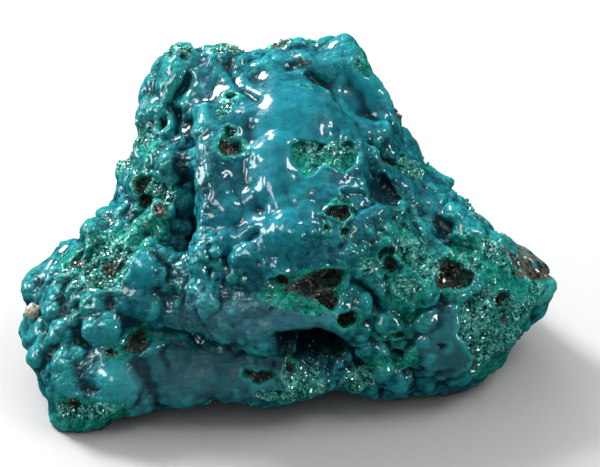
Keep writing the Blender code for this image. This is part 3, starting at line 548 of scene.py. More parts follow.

# Colours of the show side that go with no hollow, painted shade, haze and sheen among them: path, half-width
# and, where it isn't full, strength
STAINS = {
    Tint.BROWN: (
        (((-45, -3),), 1.6), (((-38, -3.6),), 1.8), (((-28, 8.4),), 1.5),
    ),
    Tint.GREEN: (
        (((-29, 13), (-26, 11)), 1.6), (((-36, 17), (-34, 18)), 1.8, 0.8),
        (((-47.6, -32), (-42, -33), (-38.4, -32.4)), 1.7, 0.8), (((-14.4, 29), (-15.6, 27.6)), 1.1),
        (((-18, 40.8), (-13, 40)), 1.6, 0.9), (((21, 17), (23, 16)), 2.2, 0.8),
        (((21, 1.6), (21, 0)), 1.2, 0.9), (((13.6, -2.8),), 1.6, 0.8), (((26.4, -3.6),), 1.7, 0.9),
        (((35, -2.4),), 1.6, 0.8), (((10, -27), (13, -25.4)), 2.2, 0.8),
        (((-8, -29), (-2, -29.4), (5, -27)), 1.5, 0.75), (((31, -5),), 5.0, 0.62),
        (((38, 0.6), (43, -3), (48, -8)), 2.4, 0.55), (((46, -11), (41, -18), (36, -21)), 2.6, 0.58),
        (((22, 0), (26, -4)), 2.4, 0.6), (((1.6, 20.6), (4, 20), (9, 20.4)), 1.1, 0.9),
        (((-1.8, -26), (2, -26)), 2.6, 0.7), (((-27, 39.6), (-23, 40.6)), 2.0, 0.62),
        (((-32.6, 25), (-31, 22)), 1.6, 0.7),
    ),
    Tint.RIM: (
        (((-35, 3), (-31, 6), (-27, 9)), 1.8, 0.9),
        (((51, -7), (49, -10), (44, -14.4), (41, -19)), 1.2, 0.8),
    ),
    # Pale milky glaze, partly painted sheen where glare falls
    Tint.PALE_SHEEN: (
        (((-32, -4),), 3.2, 0.9), (((10, 38), (13.4, 33), (15, 28)), 4.0, 0.65),
        (((-1, 30), (-6, 22), (-9, 12), (-14, 4)), 5.0, 0.35), (((-8.6, 22), (-9, 12), (-5, 5)), 4.0, 0.5),
    ),
    Tint.GREY: (
        (((-14, 40.8), (-12.6, 40.2)), 1.2), (((43.4, 1.4), (47.2, -1.4), (49.6, -4.4)), 2.0),
    ),
    # Painted shade where the main lamp doesn't reach
    Tint.PAINTED_SHADE: (
        (((30, -15), (29, -23)), 5.0),
    ),
    # Painted shade along creases
    Tint.HOLLOW_SHADE: (
        (((-24, 22), (-24, 14), (-23.4, 6), (-23.4, 2)), 2.4, 0.5),
        (((-42.4, -21.4), (-43.6, -25), (-42.8, -29.4)), 1.1, 0.6),
    ),
    # Satin finish with a painted grey haze of reflection
    Tint.SATIN_HAZE: (
        (((-32, -27), (-20, -25), (-8, -24)), 5.0, 0.9), (((-22, -13), (-10, -14), (2, -13)), 4.0, 0.8),
    ),
    Tint.SEA: (
        (((36, -4), (46, -10), (38, -18)), 9.0, 0.9), (((22, 4), (14, -6), (20, -18)), 7.0, 0.6),
        (((-26, 34), (-32, 22), (-30, 12)), 5.0, 0.6), (((-40, 2), (-44, -6)), 8.0, 0.7),
        (((-50, -12), (-50, -24)), 6.0, 0.3), (((-48, -34), (-40, -35)), 5.0, 0.8),
    ),
    Tint.EMERALD: (
        (((33, 0), (38, -3), (44, -7)), 4.0, 0.62), (((45, -12), (40, -18), (38, -23)), 5.0, 0.6),
        (((19, 3), (24, -1), (25, -8)), 4.0, 0.52), (((14, -22.6), (22, -22)), 2.0, 0.7),
        (((-46, -2), (-36, 1), (-30, 4)), 5.0, 0.54), (((8, 7.6),), 3.2, 0.7),
        (((12.6, 39.8), (13, 36)), 1.6, 0.8), (((-7, -9), (-3, -10.6), (3, -11.6)), 1.4, 0.8),
        (((21.6, -7.4), (22, -12)), 3.6, 0.7), (((-44, -34), (-38, -33)), 4.0, 0.8),
        (((-33, 22), (-30, 20)), 2.4, 0.6),
    ),
}


def srgb(colour: Colour) -> tuple[float, float, float, float]:
    """The linear colour of a screen colour.

    Args:
        colour: Red, green and blue from 0 to 255.

    Returns:
        Linear red, green and blue, and an alpha of one.
    """
    values = np.array(colour) / 255.0
    linear = np.where(values <= 0.04045, values / 12.92, ((values + 0.055) / 1.055) ** 2.4)
    return (*linear.tolist(), 1.0)


def face_frame(points: Array) -> tuple[Array, Array, Array]:
    """Across, up and out of points from the show side's middle: the dot products with its three axes."""
    local = points - np.array((0.0, 0.0, FACE_MIDDLE))
    return local @ ACROSS, local @ UP, local @ OUT


def as_seen(points: Array) -> tuple[Array, Array]:
    """Places as the viewer sees them: across and up, times the view distance over what is left of it.

    Args:
        points: Points, one to a row.

    Returns:
        Across and up of each point, larger where it is nearer.
    """
    across, up, out = face_frame(points)
    nearer = VIEW_DISTANCE / (VIEW_DISTANCE - out)
    return across * nearer, up * nearer


def smooth_least(a: Array, b: Array, blend: float) -> Array:
    """The lesser of two fields, less a quarter of the blend width times the square of how near they are."""
    meet = np.maximum(blend - np.abs(a - b), 0.0) / blend
    return np.minimum(a, b) - meet * meet * blend / 4.0


def smooth_step(value: Array) -> Array:
    """Three squares less two cubes of the value, held between nought and one."""
    part = np.clip(value, 0.0, 1.0)
    return part * part * (3.0 - 2.0 * part)


def ramp(value: Array, start: float, over: float) -> Array:
    """A smooth step that rises from its start over a width."""
    return smooth_step((value - start) / over)


def dots(one: Array, two: Array) -> Array:
    """The dot product of each pair of rows."""
    return np.einsum("ij,ij->i", one, two)


def squares(vectors: Array) -> Array:
    """The squared length of each row."""
    return dots(vectors, vectors)


def unit(vectors: Array) -> Array:
    """Each vector along the last axis over its length."""
    return vectors / np.maximum(np.linalg.norm(vectors, axis=-1, keepdims=True), 1e-12)


def turned(lean: float, turn: float) -> Array:
    """A turn about Z after a lean about X, as the product of their matrices.

    Args:
        lean: Degrees about X.
        turn: Degrees about Z.

    Returns:
        The three by three matrix.
    """
    c, s = math.cos(math.radians(lean)), math.sin(math.radians(lean))
    d, t = math.cos(math.radians(turn)), math.sin(math.radians(turn))
    about_x = np.array(((1, 0, 0), (0, c, -s), (0, s, c)))
    about_z = np.array(((d, -t, 0), (t, d, 0), (0, 0, 1)))
    return about_z @ about_x


def bulk_field(points: Array) -> Array:
    """How far each point is outside the bulk.

    For an ellipsoid it is k(k - 1)/g, where k is the length of the point over the radii and g that of the
    point over the squared radii. The ellipsoids melt together by the smooth least, and each break cuts what
    is past it.

    Args:
        points: Points, one to a row.

    Returns:
        The field, negative inside.
    """
    field = np.full(len(points), REACH * 2.0)
    for mass in MASSES:
        radii = np.array(mass.radii, dtype=float)
        local = (points - np.array(mass.at)) @ turned(mass.lean, mass.turn)
        near = np.sqrt(squares(local / radii))
        slope = np.sqrt(squares(local / radii**2))
        field = smooth_least(field, near * (near - 1.0) / np.maximum(slope, 1e-9), BLEND)
    for flat in BREAKS:
        normal = np.array(flat.normal) / np.linalg.norm(flat.normal)
        field = -smooth_least(-field, -((points - np.array(flat.at)) @ normal), BREAK_BLEND)
    return field


def skin_radii(directions: Array) -> Array:
    """How far the bulk's skin is from the heart: each ray steps in from outside by a share of the field.

    Args:
        directions: Unit vectors from the heart.

    Returns:
        A radius for each direction.
    """
    radii = np.full(len(directions), REACH)
    for _ in range(RAY_STEPS):
        radii = radii - RAY_SHARE * bulk_field(HEART + radii[:, None] * directions)
    return radii


def scrambled(cells: Array, seed: int) -> Array:
    """Three seeded numbers for each whole-number cell, by multiplying and folding the bits of its code.

    Args:
        cells: Whole numbers, three to a row.
        seed: Which set of numbers.

    Returns:
        Three numbers between nought and one to a row.
    """
    code = np.uint64(seed * SEED_CODE)
    for axis, times in enumerate(CELL_CODES):
        code = code ^ (cells[:, axis] + CELL_SHIFT).astype(np.uint64) * np.uint64(times)
    out = []
    for _ in range(3):
        code = (code ^ (code >> np.uint64(31))) * np.uint64(FOLD_CODE)
        code = code ^ (code >> np.uint64(29))
        out.append((code >> np.uint64(40)).astype(float) / 2.0**24)
    return np.stack(out, axis=1)


def noise(points: Array, size: float, seed: int) -> Array:
    """Smooth noise: random values at an even lattice, eased between by the smooth step.

    Args:
        points: Points, one to a row.
        size: The lattice's step.
        seed: Which noise.

    Returns:
        A value between minus one and one for each point.
    """
    cells = np.floor(points / size).astype(np.int64)
    ease = smooth_step(points / size - cells)
    total = np.zeros(len(points))
    for corner in itertools.product((0, 1), repeat=3):
        weight = np.prod(np.where(np.array(corner) == 1, ease, 1.0 - ease), axis=1)
        total += weight * scrambled(cells + np.array(corner), seed)[:, 0]
    return 2.0 * total - 1.0


def slow_and_fine(points: Array, slow: float, fine: float, seed: int) -> Array:
    """A slow noise and three fifths of a finer one."""
    return noise(points, slow, seed) + 0.6 * noise(points, fine, seed + 1)


def cell_distance(points: Array, size: float, seed: int) -> Array:
    """Distance from each point to the nearest of the seeds, one strewn in each cell of an even lattice.

    Args:
        points: Points, one to a row.
        size: The lattice's step.
        seed: Which set of seeds.

    Returns:
        The distance at each point.
    """
    cells = np.floor(points / size).astype(np.int64)
    best = np.full(len(points), np.inf)
    for step in itertools.product((-1, 0, 1), repeat=3):
        cell = cells + np.array(step)
        best = np.minimum(best, squares(points - (cell + scrambled(cell, seed)) * size))
    return np.sqrt(best)


def ridges(points: Array, size: float, seed: int) -> Array:
    """Sharp winding ridges: one less twice the size of a noise, so they run where it crosses nought."""
    return 1.0 - np.minimum(2.0 * np.abs(noise(points, size, seed)), 1.0)


def lining_mask(inwards: Array) -> Array:
    """A mask that is a half on a lining's edge and rises evenly inwards, by the distance over the fade."""
    return np.clip(0.5 + inwards / LINING_FADE, 0.0, 1.0)


def cube_grid(cells: int, pull: float = 0.0, widen: float = 1.0) -> tuple[Array, Array]:
    """Directions over a ball: six square patches, each a function of two parameters u and v.

    On a patch u and v run from -1 to 1, and the direction is along (1, tan(u pi/4), tan(v pi/4)), with the
    axes in the patch's own order. Points that two patches share are kept once. Each direction then becomes
    the unit vector of itself, its X times the widening, plus the pull times OUT.

    Args:
        cells: Cells along a patch's side.
        pull: How far the grid is drawn to the viewer.
        widen: How far it is drawn to both wings.

    Returns:
        The directions and the quads, whose corners turn left as seen from outside.
    """
    step = np.arange(-cells, cells + 1, 2)
    u, v = (ring.ravel() for ring in np.meshgrid(step, step, indexing="ij"))
    corner = np.arange(cells * (cells + 1)).reshape(cells, cells + 1)[:, :-1].ravel()
    square = np.stack([corner, corner + cells + 1, corner + cells + 2, corner + 1], axis=1)
    patches, quads = [], []
    for axis, side in itertools.product(range(3), (1, -1)):
        patches.append(np.roll(np.stack([np.full_like(u, cells * side), u, v], axis=1), axis, axis=1))
        quads.append(square[:, ::side] + len(u) * (len(patches) - 1))
    lattice, shared = np.unique(np.concatenate(patches), axis=0, return_inverse=True)
    directions = unit(np.tan(lattice / cells * math.pi / 4))
    return unit(directions * (widen, 1.0, 1.0) + pull * OUT), shared.ravel()[np.concatenate(quads)]


def quad_normals(corners: Array) -> Array:
    """The cross product of each quad's diagonals, twice its area long."""
    return np.cross(corners[:, 2] - corners[:, 0], corners[:, 3] - corners[:, 1])


def point_normals(points: Array, quads: Array) -> Array:
    """The mean outward normal at each point: the sum of its quads' normals, at length one.

    Args:
        points: Points, one to a row.
        quads: Four indices to a row.

    Returns:
        A unit normal for each point.
    """
    face = quad_normals(points[quads])
    total = [np.bincount(quads.ravel(), np.repeat(face[:, axis], 4), len(points)) for axis in range(3)]
    return unit(np.stack(total, axis=1))


def draw_to_outline(points: Array) -> Array:
    """Moves the skin across and up so that its edge, as seen from the front, is the outline.

    Around the heart, the edge's reach is read in slots of angle. Each point moves by the outline's reach over
    the edge's: the broad part by the square of how far out the point is, the fine part near the edge alone.

    Args:
        points: Points of the skin.

    Returns:
        The moved points.
    """
    middle = np.array(as_seen(HEART[None])).ravel()
    goal = np.array(OUTLINE) - middle
    goal_angle = np.arctan2(goal[:, 1], goal[:, 0])
    order = np.argsort(goal_angle)
    goal_angle, goal_reach = goal_angle[order], np.linalg.norm(goal, axis=1)[order]
    across, up = as_seen(points)
    across, up = across - middle[0], up - middle[1]
    angle, reach = np.arctan2(up, across), np.hypot(across, up)

    slot = ((angle + math.pi) / (2 * math.pi) * EDGE_SLOTS).astype(int) % EDGE_SLOTS
    edge = np.zeros(EDGE_SLOTS)
    np.maximum.at(edge, slot, reach)
    on_edge = reach > edge[slot] - EDGE_NEAR
    edge_out = np.bincount(slot[on_edge], face_frame(points)[2][on_edge], EDGE_SLOTS)
    edge_out = edge_out / np.maximum(np.bincount(slot[on_edge], minlength=EDGE_SLOTS), 1)
    centres = (np.arange(EDGE_SLOTS) + 0.5) / EDGE_SLOTS * 2 * math.pi - math.pi
    wanted = np.interp(centres, goal_angle, goal_reach, period=2 * math.pi)

    def around(values: Array, width: int) -> Array:
        """A ring of values averaged with its neighbours, read at each point's own angle.

        Args:
            values: A value for each slot.
            width: How many slots wide the averaging is.

        Returns:
            A value for each point.
        """
        steps = np.arange(-3 * width, 3 * width + 1)
        weights = np.exp(-0.5 * (steps / width) ** 2)
        mean = sum(w * np.roll(values, s) for w, s in zip(weights, steps)) / weights.sum()
        return np.interp(angle, centres, mean, period=2 * math.pi)

    own_edge, own_broad = around(edge, FINE_SLOTS), around(wanted, BROAD_SLOTS)
    own_fine = around(wanted, FINE_SLOTS) - own_broad
    part_way = np.clip(reach / own_edge, 0.0, 1.0)
    local_across, local_up, out = face_frame(points)
    behind = (out - around(edge_out, OUT_SLOTS)) / EDGE_BAND
    near_edge = np.exp(-(((1.0 - part_way) / EDGE_SHARE) ** 2) - behind**2)
    scale = 1.0 + (own_broad / own_edge - 1.0) * part_way**2 + own_fine / own_edge * near_edge
    run = (local_across - middle[0])[:, None] * ACROSS + (local_up - middle[1])[:, None] * UP
    return points + (scale - 1.0)[:, None] * run


class Skin:
    """The stone's surface as one closed grid, with the forms and the tints that are put on it."""

    def __init__(self, directions: Array, quads: Array) -> None:
        """Lays the grid on the bulk and draws it to the outline.

        Args:
            directions: A direction from the heart for each point.
            quads: The grid's quads.
        """
        self.quads = quads
        self.points = draw_to_outline(HEART + skin_radii(directions)[:, None] * directions)
        self.tints = {tint: np.zeros(len(directions)) for tint in Tint}
        self.settle()
        self.bulk_facing = self.facing

    def beside(self, values: Array) -> Array:
        """The mean of each point's neighbours along the grid's lines.

        Args:
            values: Three values for each point.

        Returns:
            Their means.
        """
        before, after = np.roll(self.quads, 1, axis=1), np.roll(self.quads, -1, axis=1)
        pairs = values[before] + values[after]
        corners = self.quads.ravel()
        total = [np.bincount(corners, pairs[..., axis].ravel(), len(values)) for axis in range(3)]
        return np.stack(total, axis=1) / (2.0 * np.bincount(corners, minlength=len(values)))[:, None]

    def settle(self) -> None:
        """Works the normals and the places as seen out again, after the surface has moved."""
        self.normals = point_normals(self.points, self.quads)
        self.push = self.normals
        for _ in range(PUSH_ROUNDS):
            self.push = unit(self.push + PUSH_WEIGHT * self.beside(self.push))
        self.across, self.up = as_seen(self.points)
        self.out = face_frame(self.points)[2]
        self.facing = self.normals @ OUT

    def move(self, rise: Array, ease: float = SLIDE_OFF) -> None:
        """Moves each point along its eased normal, then slides the points apart where they crowd.

        Args:
            rise: How far each point moves outwards.
            ease: Share of a slide that may leave the surface, which rounds what is sharp.
        """
        self.points = self.points + rise[:, None] * self.push
        for _ in range(SLIDE_ROUNDS):
            normals = point_normals(self.points, self.quads)
            step = 0.5 * (self.beside(self.points) - self.points)
            self.points = self.points + step - (1.0 - ease) * dots(step, normals)[:, None] * normals
        self.settle()

    def hidden(self) -> Array:
        """How far each point is on the side that the front hides."""
        return smooth_step((HIDDEN_BELOW - self.bulk_facing) / HIDDEN_FADE + 0.5)

    def paint(self, tint: Tint, amount: Array, at: Array | slice = slice(None)) -> None:
        """Deepens a tint to an amount wherever it is less, at the points that it is for."""
        self.tints[tint][at] = np.maximum(self.tints[tint][at], amount)

    def line(self, lining: Tint | None, inwards: Array, at: Array | slice = slice(None)) -> None:
        """Paints the lining of a hollow, and round a brown one a green edge.

        Args:
            lining: The lining, if it has one.
            inwards: How far inside the lining's edge each point is.
            at: The points that it is for.
        """
        if lining:
            self.paint(lining, lining_mask(inwards), at)
        if lining is Tint.BROWN:
            self.paint(Tint.EMERALD, lining_mask(inwards + GREEN_EDGE), at)

    def near(self, spots: Array, reach: float) -> Array:
        """Which points are within reach of a row of spots, as a ball about its middle.

        Args:
            spots: The spots.
            reach: How far past the last spot it goes.

        Returns:
            The points' indices.
        """
        middle = spots.mean(axis=0)
        reach = reach + np.sqrt(squares(spots - middle).max())
        return np.flatnonzero(squares(self.points - middle) < reach * reach)

    def place(self, across: float, up: float) -> tuple[Array, Array]:
        """The skin at a place on the show side: the mean of the front points about it.

        Args:
            across: Where across.
            up: Where up.

        Returns:
            The point and the normal there.
        """
        away = np.hypot(self.across - across, self.up - up)
        in_front = self.facing > FRONT_FACING
        close = in_front & (away < PLACE_REACH)
        if not close.any():
            close = in_front & (away < away[in_front].min() + PLACE_MORE)
        found = np.flatnonzero(close)
        nearby = found[self.out[found] > self.out[found].max() - FRONT_STEP]
        return self.points[nearby].mean(axis=0), unit(self.normals[nearby].mean(axis=0))

    def trail(self, path: Sequence[Place], spacing: float) -> tuple[Array, Array]:
        """The skin along a path of places, at even steps.

        Args:
            path: Places on the face.
            spacing: The step between two spots.

        Returns:
            The points and normals along it.
        """
        corners = np.array(path, dtype=float)
        lengths = np.r_[0.0, np.cumsum(np.linalg.norm(np.diff(corners, axis=0), axis=1))]
        at = np.linspace(0.0, lengths[-1], max(2, int(lengths[-1] / spacing) + 1))
        spots = [self.place(*(np.interp(a, lengths, column) for column in corners.T)) for a in at]
        return np.array([s[0] for s in spots]), unit(np.array([s[1] for s in spots]))

    def balls(self, rise: Array, spots: Array, normals: Array, form: Knob | Lobe, crease: float) -> None:
        """Raises the skin to a row of balls whose tops stand off it, by the smooth greater of both.

        Along the eased normal n, a point at offset p from a ball's centre meets the ball after
        -p.n + sqrt((p.n)^2 - p.p + r^2). A skirt draws the ball in where that root nears nought, so it has no
        sheer wall.

        Args:
            rise: The rise of every point so far, changed in place.
            spots: Where the balls come out of the skin.
            normals: The skin's normals there.
            form: The radius and height of the balls.
            crease: Width of the rounding where a ball meets the skin.
        """
        radius = form.radius
        near = self.near(spots, BALL_READ * radius)
        highest = np.full(len(near), -radius)
        for spot, normal in zip(spots, normals):
            offset = self.points[near] - spot - (form.stand - radius) * normal
            along = dots(offset, self.push[near])
            room = along**2 - squares(offset) + radius**2
            meets = (room > 0.0) & (np.abs(along) < BALL_ALONG * radius)
            skirt = SKIRT_DEPTH * radius * np.maximum(1.0 - room / (SKIRT_ROOM * radius**2), 0.0) ** 2
            reached = -along + np.sqrt(np.maximum(room, 0.0)) - skirt
            highest = np.maximum(highest, np.where(meets, reached, -radius))
        rise[near] = -smooth_least(-rise[near], -highest, crease)

    def chain_distance(self, chain: Array, near: Array) -> Array:
        """Distance from points to a chain of straight runs.

        Args:
            chain: The chain's joints.
            near: Indices of the points.

        Returns:
            A distance for each of them.
        """
        best = np.full(len(near), np.inf)
        for start, end in zip(chain[:-1], chain[1:]):
            run = end - start
            offset = self.points[near] - start
            part = np.clip((offset @ run) / max(run @ run, 1e-9), 0.0, 1.0)
            best = np.minimum(best, squares(offset - part[:, None] * run))
        return np.sqrt(best)

    def carve_pit(self, rise: Array, sink: Array, spot: Array, normal: Array, pit: Pit) -> None:
        """Cuts an oval pit with a ragged edge, raises its rim and paints its lining.

        The pit is read by how far out a point is: the length of its two offsets along the skin over the
        half-sizes and half its offset across it, times one plus two sines of the angle.

        Args:
            rise: The rise of every point so far, changed in place.
            sink: The sinking of every point so far, changed in place.
            spot: The pit's middle.
            normal: The skin's normal there.
            pit: Its sizes and lining.
        """
        near = self.near(spot[None], PIT_READ * max(pit.half))
        side = unit(ACROSS - (ACROSS @ normal) * normal)
        other = np.cross(normal, side)
        c, s = math.cos(math.radians(pit.turn)), math.sin(math.radians(pit.turn))
        offset = self.points[near] - spot
        one = (offset @ side * c + offset @ other * s) / pit.half[0]
        two = (offset @ other * c - offset @ side * s) / pit.half[1]
        deep = 0.5 * (offset @ normal / max(pit.half))
        angle = np.arctan2(two, one)
        waves = (high * np.sin(count * angle + spot[axis]) for count, high, axis in PIT_WAVES)
        out = np.sqrt(one**2 + two**2 + deep**2) * sum(waves, start=1.0)
        rise[near] += pit.rim * np.exp(-(((out - PIT_RIM_AT) / PIT_RIM_WIDTH) ** 2))
        sink[near] += pit.depth * (1.0 - ramp(out, *PIT_WALL))
        self.line(pit.lining, (1.0 - out) * math.sqrt(pit.half[0] * pit.half[1]), near)

    def inside(self, outline: Sequence[Place]) -> Array:
        """How far inside an outline each point is, as seen: the distance to its nearest side, signed.

        Args:
            outline: The outline's corners.

        Returns:
            The distance, negative outside and far below nought on what lies far behind the front.
        """
        corners = np.array(outline, dtype=float)
        best = np.full(len(self.points), np.inf)
        within = np.zeros(len(self.points), dtype=bool)
        for (x0, y0), (x1, y1) in zip(corners, np.roll(corners, -1, axis=0)):
            dx, dy = x1 - x0, y1 - y0
            part = ((self.across - x0) * dx + (self.up - y0) * dy) / (dx * dx + dy * dy)
            part = np.clip(part, 0.0, 1.0)
            best = np.minimum(best, np.hypot(self.across - x0 - part * dx, self.up - y0 - part * dy))
            if dy != 0.0:
                level = (self.up > min(y0, y1)) & (self.up <= max(y0, y1))
                within ^= level & (self.across < x0 + (self.up - y0) * dx / dy)
        signed = np.where(within, best, -best)
        front = np.median(self.out[within & (self.facing > 0.0)])
        return np.where(self.out > front - FRONT_DEPTH, signed, -REACH)

    def carve_field(self, form: Hollow) -> Array:
        """How much of a hollow's or cave's depth each point gets, over its walls, with its lining painted.

        Args:
            form: The hollow or cave.

        Returns:
            One inside, nought outside, and a smooth fall between, with a ragged edge round a hollow.
        """
        inwards = self.inside(form.outline)
        if isinstance(form, Cave):
            self.line(form.lining, inwards + form.wall)
        else:
            inwards = inwards + FIELD_WANDER * noise(self.points, *FIELD_NOISE)
            self.line(form.lining, inwards)
        return smooth_step(inwards / form.wall + FIELD_WIDER)

    def apply(self, forms: Iterable[Form], crease: float) -> None:
        """Puts a group of forms on the skin at once: the highest wins, and hollows are cut from that.

        Args:
            forms: The forms.
            crease: Width of the rounding where a form meets the skin.
        """
        rise, sink, drawn_back = np.zeros((3, len(self.points)))
        for form in forms:
            if isinstance(form, Knob):
                spot, normal = self.place(form.across, form.up)
                self.balls(rise, spot[None], normal[None], form, crease)
            elif isinstance(form, Lobe):
                self.balls(rise, *self.trail(form.path, LOBE_STEP * form.radius), form, crease)
            elif isinstance(form, Groove):
                spots, _ = self.trail(form.path, GROOVE_STEP)
                near = self.near(spots, GROOVE_READ * form.width)
                sink[near] += form.depth * np.exp(-((self.chain_distance(spots, near) / form.width) ** 2))
            elif isinstance(form, Pit):
                self.carve_pit(rise, sink, *self.place(form.across, form.up), form)
            elif isinstance(form, Cave):
                drawn_back += form.depth * self.carve_field(form)
            else:
                sink += form.depth * self.carve_field(form)
        self.points = self.points + drawn_back[:, None] * CAVE_RUN
        self.move(rise - sink, ease=SLIDE_OFF_LARGE if crease > LARGE_CREASE else SLIDE_OFF)

    def spread(self, rule: Spread) -> None:
        """Strews knobs and pits over the sides, back and underside, where no other stands too near.

        Args:
            rule: How many, how large and how high.
        """
        draw = np.random.default_rng(rule.seed)
        rise, sink = np.zeros((2, len(self.points)))
        from_heart = unit(self.points - HEART)
        taken = []
        for towards in unit(draw.normal(size=(rule.tries, 3))):
            at = int(np.argmax(from_heart @ towards))
            spot, normal = self.points[at], self.normals[at]
            size = draw.uniform(*rule.sizes)
            share, kind, squash, turn = draw.uniform(*rule.stand), *draw.uniform(size=3)
            crowded = any(
                np.linalg.norm(spot - other) < rule.apart * (size + reach) for other, reach in taken
            )
            underneath = spot[2] < FLOOR_GAP or normal[2] < UNDERSIDE and spot[2] < 2.0 * size
            if crowded or underneath or self.bulk_facing[at] > HIDDEN_BELOW:
                continue
            taken.append((spot, size))
            if kind < rule.pits:
                # Some of these pits get a dark lining that is painted shade
                lining = (Tint.BROWN, Tint.GREEN, Tint.HOLLOW_SHADE)[int(3 * kind / rule.pits)]
                half = (0.5 * size, 0.5 * size * (ROUND_LEAST + ROUND_MORE * squash))
                pit = Pit(0, 0, half, rule.pit_depth * size, rule.pit_rim * size, 180.0 * turn, lining)
                self.carve_pit(rise, sink, spot, normal, pit)
            else:
                knob = Knob(0, 0, size, share * size)
                self.balls(rise, spot[None], normal[None], knob, rule.crease * size)
        self.move(self.hidden() * (rise - sink))

    def bubble(self, size: float, height: float, seed: int) -> None:
        """Covers the skin with low round lumps that meet in creases, fewer where the skin is calm.

        A lump is its height times one less the squared distance to its middle over LUMP_ROUND of the size,
        measured in a space that is shorter along UP and drifts by noise, so that lumps are long and uneven. A
        slow noise makes them higher in some places than in others.

        Args:
            size: The lumps' spacing.
            height: Their height.
            seed: Which lumps.
        """
        calm = np.zeros(len(self.points))
        for across, up, wide, high, smooth in CALM:
            away = ((self.across - across) / wide) ** 2 + ((self.up - up) / high) ** 2
            calm += smooth * np.exp(-(away**2)) * (self.facing > 0.0)
        calm = np.clip(calm, -1.0, CALMEST)
        drift = [noise(self.points, LUMP_DRIFT_SIZE * size, seed + DRIFT_SEED + axis) for axis in range(3)]
        shorter = self.points - LUMP_STRETCH * (self.points @ UP)[:, None] * UP
        run = shorter + LUMP_DRIFT * size * np.stack(drift, axis=1)
        lump = 1.0 - np.minimum(cell_distance(run, size, seed) / (LUMP_ROUND * size), 1.0) ** 2
        self.tints[Tint.LUMPY] = np.clip(1.0 - calm, 0.0, LUMPIEST)
        patchy = 0.5 + 0.5 * ramp(noise(self.points, PATCH_SIZE, seed + PATCH_SEED), *PATCH_RISE)
        lively = 1.0 - calm if size < LARGE_LUMPS else np.minimum(1.0 - calm, 1.0)
        self.move(height * lively * patchy * lump)

    def stain(self, tint: Tint, path: Sequence[Place], width: float, strength: float = 1.0) -> None:
        """Paints a colour along a path: full up to 0.7 of the half-width from it, and gone at 1.5.

        Args:
            tint: The colour.
            path: Places on the face, or one place.
            width: The half-width.
            strength: How strong it is at full.
        """
        spots = self.trail(path, 1.0)[0] if len(path) > 1 else np.stack([self.place(*path[0])[0]] * 2)
        away = self.chain_distance(spots, np.arange(len(self.points))) / width
        self.paint(tint, strength * (1.0 - ramp(away, *STAIN_EDGE)))

    def weather(self) -> None:
        """Stains the hidden side with matrix and druse where slow noise is high, and all of the cut base."""
        hidden = self.hidden()
        matrix = slow_and_fine(self.points, *MATRIX_NOISE)
        druse = slow_and_fine(self.points, *DRUSE_NOISE)
        low = smooth_step((BASE_TOP - self.points[:, 2]) / BASE_FADE)
        self.paint(Tint.BROWN, np.maximum(hidden * ramp(matrix, *MATRIX_FROM), BASE_MATRIX * low))
        self.paint(Tint.EMERALD, hidden * ramp(druse, *EMERALD_FROM))
        self.paint(Tint.GREEN, hidden * ramp(druse, *GREEN_FROM))
        self.paint(Tint.GREEN, low * ramp(druse, *BASE_GREEN_FROM))

    def roughen(self) -> None:
        """Breaks druse and matrix into sharp ridges with holes between, coarse ones and fine layered ones."""
        rough = ramp(np.maximum(self.tints[Tint.GREEN], self.tints[Tint.BROWN]), LINED, LINED_FADE)
        rough = np.maximum(rough, EMERALD_ROUGH * ramp(self.tints[Tint.EMERALD], LINED, EMERALD_FADE))
        layered = self.points - LAYER_STRETCH * (self.points @ LAYER_RUN)[:, None] * LAYER_RUN
        coarse, fine = ridges(self.points, *COARSE_RIDGES), ridges(layered, *LAYER_RIDGES)
        height = COARSE_PART * coarse + FINE_PART * fine
        self.tints[Tint.CRAG] = height
        self.points = self.points + (rough * (RIDGE_HEIGHT * height - RIDGE_SINK))[:, None] * self.push
        self.settle()

    def find_crests(self) -> None:
        """Reads how far each point stands out of the mean of its surroundings, near and wide, for painted
        shade and highlights.
        """
        broad = self.points
        for _ in range(CREST_ROUNDS):
            broad = 0.5 * (broad + self.beside(broad))
        self.tints[Tint.CREST_SHADING] = np.clip(dots(self.points - broad, self.normals) / CREST_HEIGHT, -1.0, 1.0)
        for _ in range(VALLEY_ROUNDS):
            broad = 0.5 * (broad + self.beside(broad))
        self.tints[Tint.VALLEY_SHADE] = np.clip(dots(broad - self.points, self.push) / VALLEY_DEPTH, 0.0, 1.0)

    def set_on_floor(self) -> Array:
        """Draws what is below the floor up to it, straight towards the heart, and centres the stone in plan.

        Returns:
            The shift that was taken off.
        """
        standing = self.points[self.points[:, 2] > 0.0]
        middle = np.append((standing.min(axis=0) + standing.max(axis=0))[:2] / 2, 0.0)
        depth = self.points[:, 2]
        share = np.where(depth < 0.0, -depth / (HEART[2] - depth), 0.0)
        self.points = self.points + share[:, None] * (HEART - self.points) - middle
        return middle


